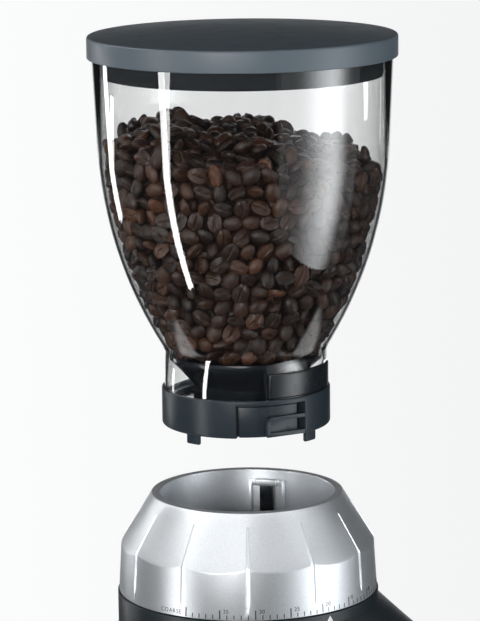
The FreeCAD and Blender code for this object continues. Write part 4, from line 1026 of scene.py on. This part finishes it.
def flute_cutter(turn):
    """A tapering bar that cuts one flute, from nothing at both ends to its full depth between."""
    shoulder = RING_BOTTOM + RING_SHOULDER
    slope = (SHOULDER_RADIUS - RIM_RADIUS) / (RING_TOP - 1.2 - shoulder)
    # Height, the ring's radius there, and the flute's depth and half its floor's width
    stations = [
        (RING_BOTTOM + 5.0, wall_radius(RING_BOTTOM + 5.0), -0.02, 0.3),
        (RING_BOTTOM + 8.0, wall_radius(RING_BOTTOM + 8.0), 0.70, 0.8),
        (shoulder - 0.8, wall_radius(shoulder - 0.8), 0.75, 0.8),
        (shoulder + 1.2, SHOULDER_RADIUS - 1.2 * slope, 0.70, 0.8),
        (shoulder + 18.5, SHOULDER_RADIUS - 18.5 * slope, -0.02, 0.3),
    ]
    rows = []
    for height, radius, depth, floor in stations:
        edge = floor + (depth + FLUTE_PROUD) * 0.55
        top = radius + FLUTE_PROUD
        section = [(radius - depth, -floor), (top, -edge), (top, edge), (radius - depth, floor)]
        rows.append([Vector((x, y + AXIS, height)) * MM for x, y in section])
    piece = lofted("flute", rows)
    piece.data.transform(Matrix.Translation((0, AXIS * MM, 0))
                         @ Matrix.Rotation(math.radians(turn), 4, "Z")
                         @ Matrix.Translation((0, -AXIS * MM, 0)))
    return piece


def ring():
    shoulder = RING_BOTTOM + RING_SHOULDER
    foot = RING_BOTTOM + 8.0
    inner = SHOULDER_RADIUS - RING_WALL
    sleeve = BORE_RADIUS + RING_WALL
    slope = (SHOULDER_RADIUS - RIM_RADIUS) / (RING_TOP - shoulder)
    cavity = shoulder + (inner - sleeve) / slope - RING_WALL
    cone = []
    for step in range(1, 7):
        share = step / 7
        cone.append((SHOULDER_RADIUS + (RIM_RADIUS - SHOULDER_RADIUS) * share,
                     shoulder + (RING_TOP - shoulder) * share))
    piece = spun("ring", [
        (BORE_RADIUS, foot, 0.4),
        (sleeve, foot, 0.4),
        (sleeve, cavity),
        (inner - (cavity - shoulder) * slope, cavity),
        (inner, shoulder - 2.5),
        (RING_RADIUS - RING_WALL, RING_BOTTOM, 0.3),
        (RING_RADIUS, RING_BOTTOM, 0.5),
        (SHOULDER_RADIUS, shoulder, 2.2),
    ] + cone + [
        (RIM_RADIUS, RING_TOP, 0.9),
        (BORE_RADIUS, RING_TOP, 0.6),
    ], NEAR_SIDE)
    for corner in piece.data.vertices:
        x, y, height = corner.co / MM
        reach = math.hypot(x, y - AXIS)
        outside = SHOULDER_RADIUS - max(0.0, height - shoulder) * slope
        on_cone = height > shoulder - 2.0 and reach > outside - 1.5
        if on_cone:
            turn = math.degrees(math.atan2(y - AXIS, x))
            corner.co.z -= sag(turn, height) * MM
    for number in range(PANELS):
        join_in(piece, flute_cutter(NEAR_SIDE + number * PANEL_SPAN), "DIFFERENCE")
    smooth(piece, 24.0)
    return dress(piece, "ring", CAST_SILVER, "cast_silver", "adjusting_ring")


SCALE_STEP = 3.11
SCALE_START = -28.0
COARSEST = 40
LONG_EVERY = 5
INK_SINK = -0.02
INK_THICKNESS = 0.16
# Length and width of the scale's lines
LONG_TICK = (4.6, 0.60)
SHORT_TICK = (2.2, 0.48)
TICK_FOOT = RING_BOTTOM + 0.7
LETTER_SIZE = 2.1
# A capital is shorter than the size that its font is given
FONT_SHARE = 1.4
LETTER_GAP = 0.45
DIGIT_GAP = 0.35
WORD_HEIGHT = RING_BOTTOM + 1.6
DIGIT_HEIGHT = RING_BOTTOM + 3.6


def on_wall(turn, height, proud):
    """The frame of a mark on the ring's wall: along, up and out, at a turn from the near side."""
    angle = math.radians(NEAR_SIDE + turn)
    lean = (SHOULDER_RADIUS - RING_RADIUS) / RING_SHOULDER
    along = Vector((-math.sin(angle), math.cos(angle), 0.0))
    up = Vector((lean * math.cos(angle), lean * math.sin(angle), 1.0)).normalized()
    out = along.cross(up)
    spot = point(wall_radius(height) + proud, height, NEAR_SIDE + turn)
    turned = Matrix((along, up, out)).transposed().to_4x4()
    return Matrix.Translation(spot) @ turned


def tick(turn, length, width):
    """A short printed line that stands up from the ring's lower edge."""
    clear_selection()
    bpy.ops.mesh.primitive_cube_add(size=MM)
    mark = bpy.context.object
    bpy.ops.object.mode_set(mode="EDIT")
    bpy.ops.transform.resize(value=(width, length, INK_THICKNESS))
    bpy.ops.mesh.bevel(offset=0.05 * MM, segments=1)
    bpy.ops.object.mode_set(mode="OBJECT")
    mark.data.transform(on_wall(turn, TICK_FOOT + length / 2, INK_SINK))
    return mark


def letters(words, turn, height, gap):
    """Printed characters set one by one round the ring, from a turn towards the right."""
    marks = []
    for character in words:
        clear_selection()
        bpy.ops.object.text_add()
        mark = bpy.context.object
        mark.data.body = character
        mark.data.size = LETTER_SIZE * MM * FONT_SHARE
        mark.data.extrude = INK_THICKNESS / 2 * MM
        mark.data.resolution_u = 3
        bpy.ops.object.convert(target="MESH")
        mark = bpy.context.object
        left = min(corner.co.x for corner in mark.data.vertices)
        width = max(corner.co.x for corner in mark.data.vertices) - left
        across = math.degrees(width / MM / RING_RADIUS)
        mark.data.transform(Matrix.Translation((-left - width / 2, 0, 0)))
        mark.data.transform(on_wall(turn + across / 2, height, INK_SINK))
        turn += across + math.degrees(gap / RING_RADIUS)
        marks.append(mark)
    return marks


def scale_print():
    marks = []
    for unit in range(COARSEST + 1):
        turn = SCALE_START + (COARSEST - unit) * SCALE_STEP
        long = unit % LONG_EVERY == 0
        marks.append(tick(turn, *(LONG_TICK if long else SHORT_TICK)))
        if long and unit < COARSEST:
            marks += letters(str(unit), turn + 1.6, DIGIT_HEIGHT, DIGIT_GAP)
    scale_end = SCALE_START + COARSEST * SCALE_STEP
    marks += letters("COARSE", SCALE_START - 13.0, WORD_HEIGHT, LETTER_GAP)
    marks += letters("FINE", scale_end + 3.0, WORD_HEIGHT, LETTER_GAP)
    piece = joined("scale_print", marks)
    bpy.ops.object.mode_set(mode="EDIT")
    bpy.ops.mesh.select_all(action="SELECT")
    bpy.ops.mesh.remove_doubles(threshold=MERGE)
    bpy.ops.object.mode_set(mode="OBJECT")
    return dress(piece, "ring", BLACK_INK, "gloss_black")


# Catch in the ring's socket

CATCH_TURN = 25.2
CATCH_SPAN = 26.0
POST_TURN = 38.2 - 5.0
POST_SPAN = 10.0


def catch():
    low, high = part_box("hopper_catch")
    bottom = low.z / MM
    top = high.z / MM
    piece = block("catch", (40.8, 42.9), (bottom, top - 0.6), CATCH_TURN, CATCH_SPAN, 16)
    gap = block("gap", (38.0, PAST_COLLAR), (bottom + 3.0, top - 3.6), CATCH_TURN + 2.2, 21.6, 12)
    join_in(piece, gap, "DIFFERENCE")
    cap = block("cap", (39.3, 42.6), (top - 3.4, top), CATCH_TURN + 4.5, 17.0, 12)
    soften(cap, 0.5, 3)
    join_in(piece, cap, "UNION")
    soften(piece, 0.25, 2)
    dress(piece, "carrier", CAST_SILVER, "cast_silver", "hopper_catch")
    low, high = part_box("catch_post")
    post = block("post", (39.6, 42.6), (low.z / MM, high.z / MM), POST_TURN, POST_SPAN, 8)
    soften(post, 0.6, 3)
    return dress(post, "carrier", GLOSS_BLACK, "gloss_black", "catch_post")


# Pointer on the housing's lip


def pointer():
    low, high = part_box("head_shell")
    lip = high.z / MM
    front = AXIS - (high.x - low.x) / 2 / MM
    half = 1.9
    foot = lip - 3.8
    corners = [(-half, foot), (half, foot), (0.0, lip - 0.9)]
    places = [Vector((x, front - 0.05, z)) * MM for x, z in corners]
    piece = trace("pointer", places, True)
    bpy.ops.mesh.edge_face_add()
    bpy.ops.mesh.extrude_region_move(TRANSFORM_OT_translate={"value": (0, 0.1 * MM, 0)})
    tidy_mesh()
    return dress(piece, "housing", WHITE_INK, "gloss_black")


# Carried-over solids: finish, smooth shading and rounded edges

EDGE_WIDTH = {
    "head_shell": 0.9, "column_shell": 0.7, "base_shell": 1.2, "base_plate": 0.6, "feet": 0.6,
    "portafilter_fork": 0.5, "catch_tray": 0.5, "outlet_chute": 0.4, "start_button": 0.5,
    "switch_frame": 0.3, "power_rocker": 0.3, "mains_gland": 0.4, "lid_seal": 0.4, "burr_carrier": 0.4,
    "bean_funnel": 0.3, "bean_shutter": 0.3,
}
ROUNDED_ABOVE = 40
SPLIT_ABOVE = 35


def finish_solids():
    slots = {part["node"]: part["material_slot"] for part in frame["record"]["subparts"]}
    for name, solid in frame["nodes"].items():
        take(solid)
        bpy.ops.mesh.customdata_custom_splitnormals_clear()
        bpy.ops.object.shade_smooth()
        solid.data.materials.clear()
        solid.data.materials.append(SLOT_FINISH[slots[name]])
        weld = solid.modifiers.new("weld", "WELD")
        weld.merge_threshold = MERGE
        if name in EDGE_WIDTH:
            edge = solid.modifiers.new("edge", "BEVEL")
            edge.width = EDGE_WIDTH[name] * MM
            edge.segments = 2
            edge.limit_method = "ANGLE"
            edge.angle_limit = math.radians(ROUNDED_ABOVE)
        split = solid.modifiers.new("split", "EDGE_SPLIT")
        split.split_angle = math.radians(SPLIT_ABOVE)


# Stage: floor, world, lamps and camera

VIEW_AHEAD = (math.sin(math.radians(VIEW_TURN)), math.cos(math.radians(VIEW_TURN)), 0.0)
VIEW_RIGHT = (math.cos(math.radians(VIEW_TURN)), -math.sin(math.radians(VIEW_TURN)), 0.0)


def seen_directly(finish):
    """One for the rays that show the background: from the camera, off gloss, or through glass."""
    rays = finish.ray("Is Camera Ray") + finish.ray("Is Glossy Ray") + finish.ray("Is Transmission Ray")
    return rays.at_most(1.0)


def straight_through(finish):
    """One for the rays that have passed both walls of the bowl, whichever way they go."""
    crossed = finish.ray("Transmission Depth").between(2.9, 3.1)
    bounces = finish.ray("Glossy Depth") + finish.ray("Diffuse Depth")
    return finish.ray("Is Transmission Ray") * crossed * (1.0 - bounces.at_most(1.0))


def floor():
    """A pale floor that fades to white, and shows in mirrors only behind and beside the part."""
    clear_selection()
    bpy.ops.mesh.primitive_circle_add(vertices=96, radius=12.0, fill_type="NGON")
    ground = bpy.context.object
    ground.name = "floor"
    finish = material("pale_floor")
    place = finish.place()
    length = finish.add("ShaderNodeVectorMath", {"operation": "LENGTH"}, {0: place})
    away = Wire(finish, length.outputs["Value"])
    clear_of_part = away.between(0.10, 0.42)
    # The floor's white glow is graded lighter on the left and darker on the right: a painted light
    # falloff across the backdrop.
    aside = finish.along(place, VIEW_RIGHT) / (away + 1.6)
    tone = finish.blend(aside.between(-0.14, 0.14), shade(0.975, 0.98, 0.98), shade(0.885, 0.89, 0.895))
    plain = finish.add("ShaderNodeBsdfDiffuse", None, {"Color": shade(0.90, 0.90, 0.90)}).outputs[0]
    white = finish.add("ShaderNodeEmission", None, {"Color": tone, "Strength": 1.0}).outputs[0]
    beyond = finish.add("ShaderNodeBsdfTransparent").outputs[0]
    shown = finish.mix(seen_directly(finish) * (0.4 + 0.6 * clear_of_part), plain, white)
    mirrored = finish.ray("Is Glossy Ray") + finish.ray("Is Transmission Ray") - straight_through(finish)
    bearing = finish.along(place, VIEW_AHEAD) / away.at_least(0.01)
    behind = bearing.between(0.92, 0.985) * clear_of_part
    beside = bearing.between(0.10, 0.20) * (1.0 - bearing.between(0.80, 0.88))
    beside = beside * (1.0 - away.between(0.34, 0.40))
    hidden = mirrored.at_most(1.0) * (1.0 - behind.at_least(0.85 * beside))
    ground.data.materials.append(finish.show(finish.mix(hidden, shown, beyond)))


def surroundings():
    """A white backdrop behind the part, a dim room on the camera's side, and a low even fill."""
    world = bpy.data.worlds.new("studio")
    scene.world = world
    finish = Finish(world)
    direction = finish.add("ShaderNodeTexCoord").outputs["Generated"]
    ahead = finish.along(direction, VIEW_AHEAD)
    rise = finish.along(direction, (0.0, 0.0, 1.0))
    panel = ahead.between(0.92, 0.985) * (1.0 - rise.between(0.02, 0.16))
    backdrop = (panel + finish.ray("Is Camera Ray") + straight_through(finish)).at_most(1.0)
    tone = finish.blend(backdrop, shade(0.018, 0.020, 0.022), shade(0.95, 0.955, 0.96))
    fill = finish.add("ShaderNodeBackground", None, {"Color": shade(0.95, 0.97, 1.0), "Strength": 0.18})
    white = finish.add("ShaderNodeBackground", None, {"Color": tone, "Strength": 1.0})
    mixed = finish.mix(seen_directly(finish), fill.outputs[0], white.outputs[0])
    finish.show(mixed, "ShaderNodeOutputWorld")


LAMP_TARGET_HEIGHT = 0.30


def softbox(name, turn, rise, distance, width, height, glow, lights=True, mirrored=True):
    """An area lamp that faces the hopper, at a turn to the right of the camera and a height."""
    lamp = bpy.data.lights.new(name, "AREA")
    lamp.shape = "RECTANGLE"
    lamp.size = width
    lamp.size_y = height
    lamp.energy = glow * math.pi * width * height
    holder = bpy.data.objects.new(name, lamp)
    holder.visible_camera = False
    holder.visible_diffuse = lights
    holder.visible_glossy = mirrored
    angle = math.radians(NEAR_SIDE + turn)
    target = Vector((0.0, AXIS * MM, LAMP_TARGET_HEIGHT))
    holder.location = target + Vector((math.cos(angle) * distance, math.sin(angle) * distance, rise))
    holder.rotation_euler = (target - holder.location).to_track_quat("-Z", "Y").to_euler()
    scene.collection.objects.link(holder)
    return holder


def graded(holder):
    """Let a lamp's glow swell across its width and fade towards its foot."""
    finish = Finish(holder.data)
    spot = finish.add("ShaderNodeNewGeometry").outputs["Parametric"]
    parts = finish.add("ShaderNodeSeparateXYZ", None, {0: spot}).outputs
    across = Wire(finish, parts["X"])
    up = Wire(finish, parts["Y"])
    swell = across.between(0.10, 0.62) ** 2.0 * (1.0 - across.between(0.61, 0.86))
    level = (0.06 + 0.94 * swell) * (0.45 + 0.55 * up.between(0.0, 0.35))
    light = finish.add("ShaderNodeEmission", None, {"Color": shade(0.95, 0.98, 1.0), "Strength": level})
    finish.show(light.outputs[0], "ShaderNodeOutputLight")


CAMERA_DISTANCE = 1621.2
CAMERA_PITCH = 11.02
CAMERA_ROLL = -0.62
CAMERA_LENS = 188.57
TARGET_HEIGHT = 300.0
TARGET_X = 245.24
TARGET_Y = 318.36
FRAME_WIDTH = 480
FRAME_HEIGHT = 621
SENSOR_WIDTH = 36.0
FAR_LIMIT = 50.0


def camera():
    pitch = math.radians(CAMERA_PITCH)
    right = Vector(VIEW_RIGHT)
    ahead = Vector((VIEW_AHEAD[0] * math.cos(pitch), VIEW_AHEAD[1] * math.cos(pitch), -math.sin(pitch)))
    up = right.cross(ahead)
    roll = math.radians(CAMERA_ROLL)
    across = right * math.cos(roll) + up * math.sin(roll)
    upward = up * math.cos(roll) - right * math.sin(roll)
    lens = bpy.data.cameras.new("camera")
    lens.lens = CAMERA_LENS
    lens.sensor_width = SENSOR_WIDTH
    lens.clip_end = FAR_LIMIT
    lens.shift_x = (FRAME_WIDTH / 2 - TARGET_X) / FRAME_HEIGHT
    lens.shift_y = (TARGET_Y - FRAME_HEIGHT / 2) / FRAME_HEIGHT
    holder = bpy.data.objects.new("camera", lens)
    spot = Vector((0.0, AXIS, TARGET_HEIGHT)) * MM - ahead * CAMERA_DISTANCE * MM
    turned = Matrix((across, upward, -ahead)).transposed().to_4x4()
    holder.matrix_world = Matrix.Translation(spot) @ turned
    scene.collection.objects.link(holder)
    scene.camera = holder


camera()
surroundings()
floor()

# Lamps: turn to the right of the camera, rise, distance, width, height and glow
softbox("left_box", -62.0, -0.23, 1.3, 0.12, 1.7, 13.0)
softbox("left_edge", -126.0, 0.05, 1.3, 0.15, 0.85, 6.5)
graded(softbox("right_box", 63.0, -0.16, 1.4, 1.96, 1.62, 4.7))
softbox("front_box", -14.0, 0.32, 1.8, 1.0, 0.5, 10.5)
softbox("high_box", -22.0, 1.30, 0.92, 1.5, 0.7, 2.2, lights=False)
softbox("high_left", -90.0, 1.10, 1.10, 1.3, 0.6, 3.4, lights=False)
softbox("high_right", 62.0, 1.20, 1.00, 0.9, 0.6, 2.0, lights=False)
softbox("side_right", 112.0, 1.20, 1.00, 0.9, 0.6, 1.2, lights=False)
softbox("rear_left", -132.0, 0.80, 1.20, 0.5, 0.5, 2.0, lights=False)
softbox("back_box", 172.0, 0.50, 1.8, 1.4, 0.5, 3.0, mirrored=False)

finish_solids()
lid()
bowl()
beans()
collar()
lever()
grip()
spring()
ring()
scale_print()
catch()
pointer()
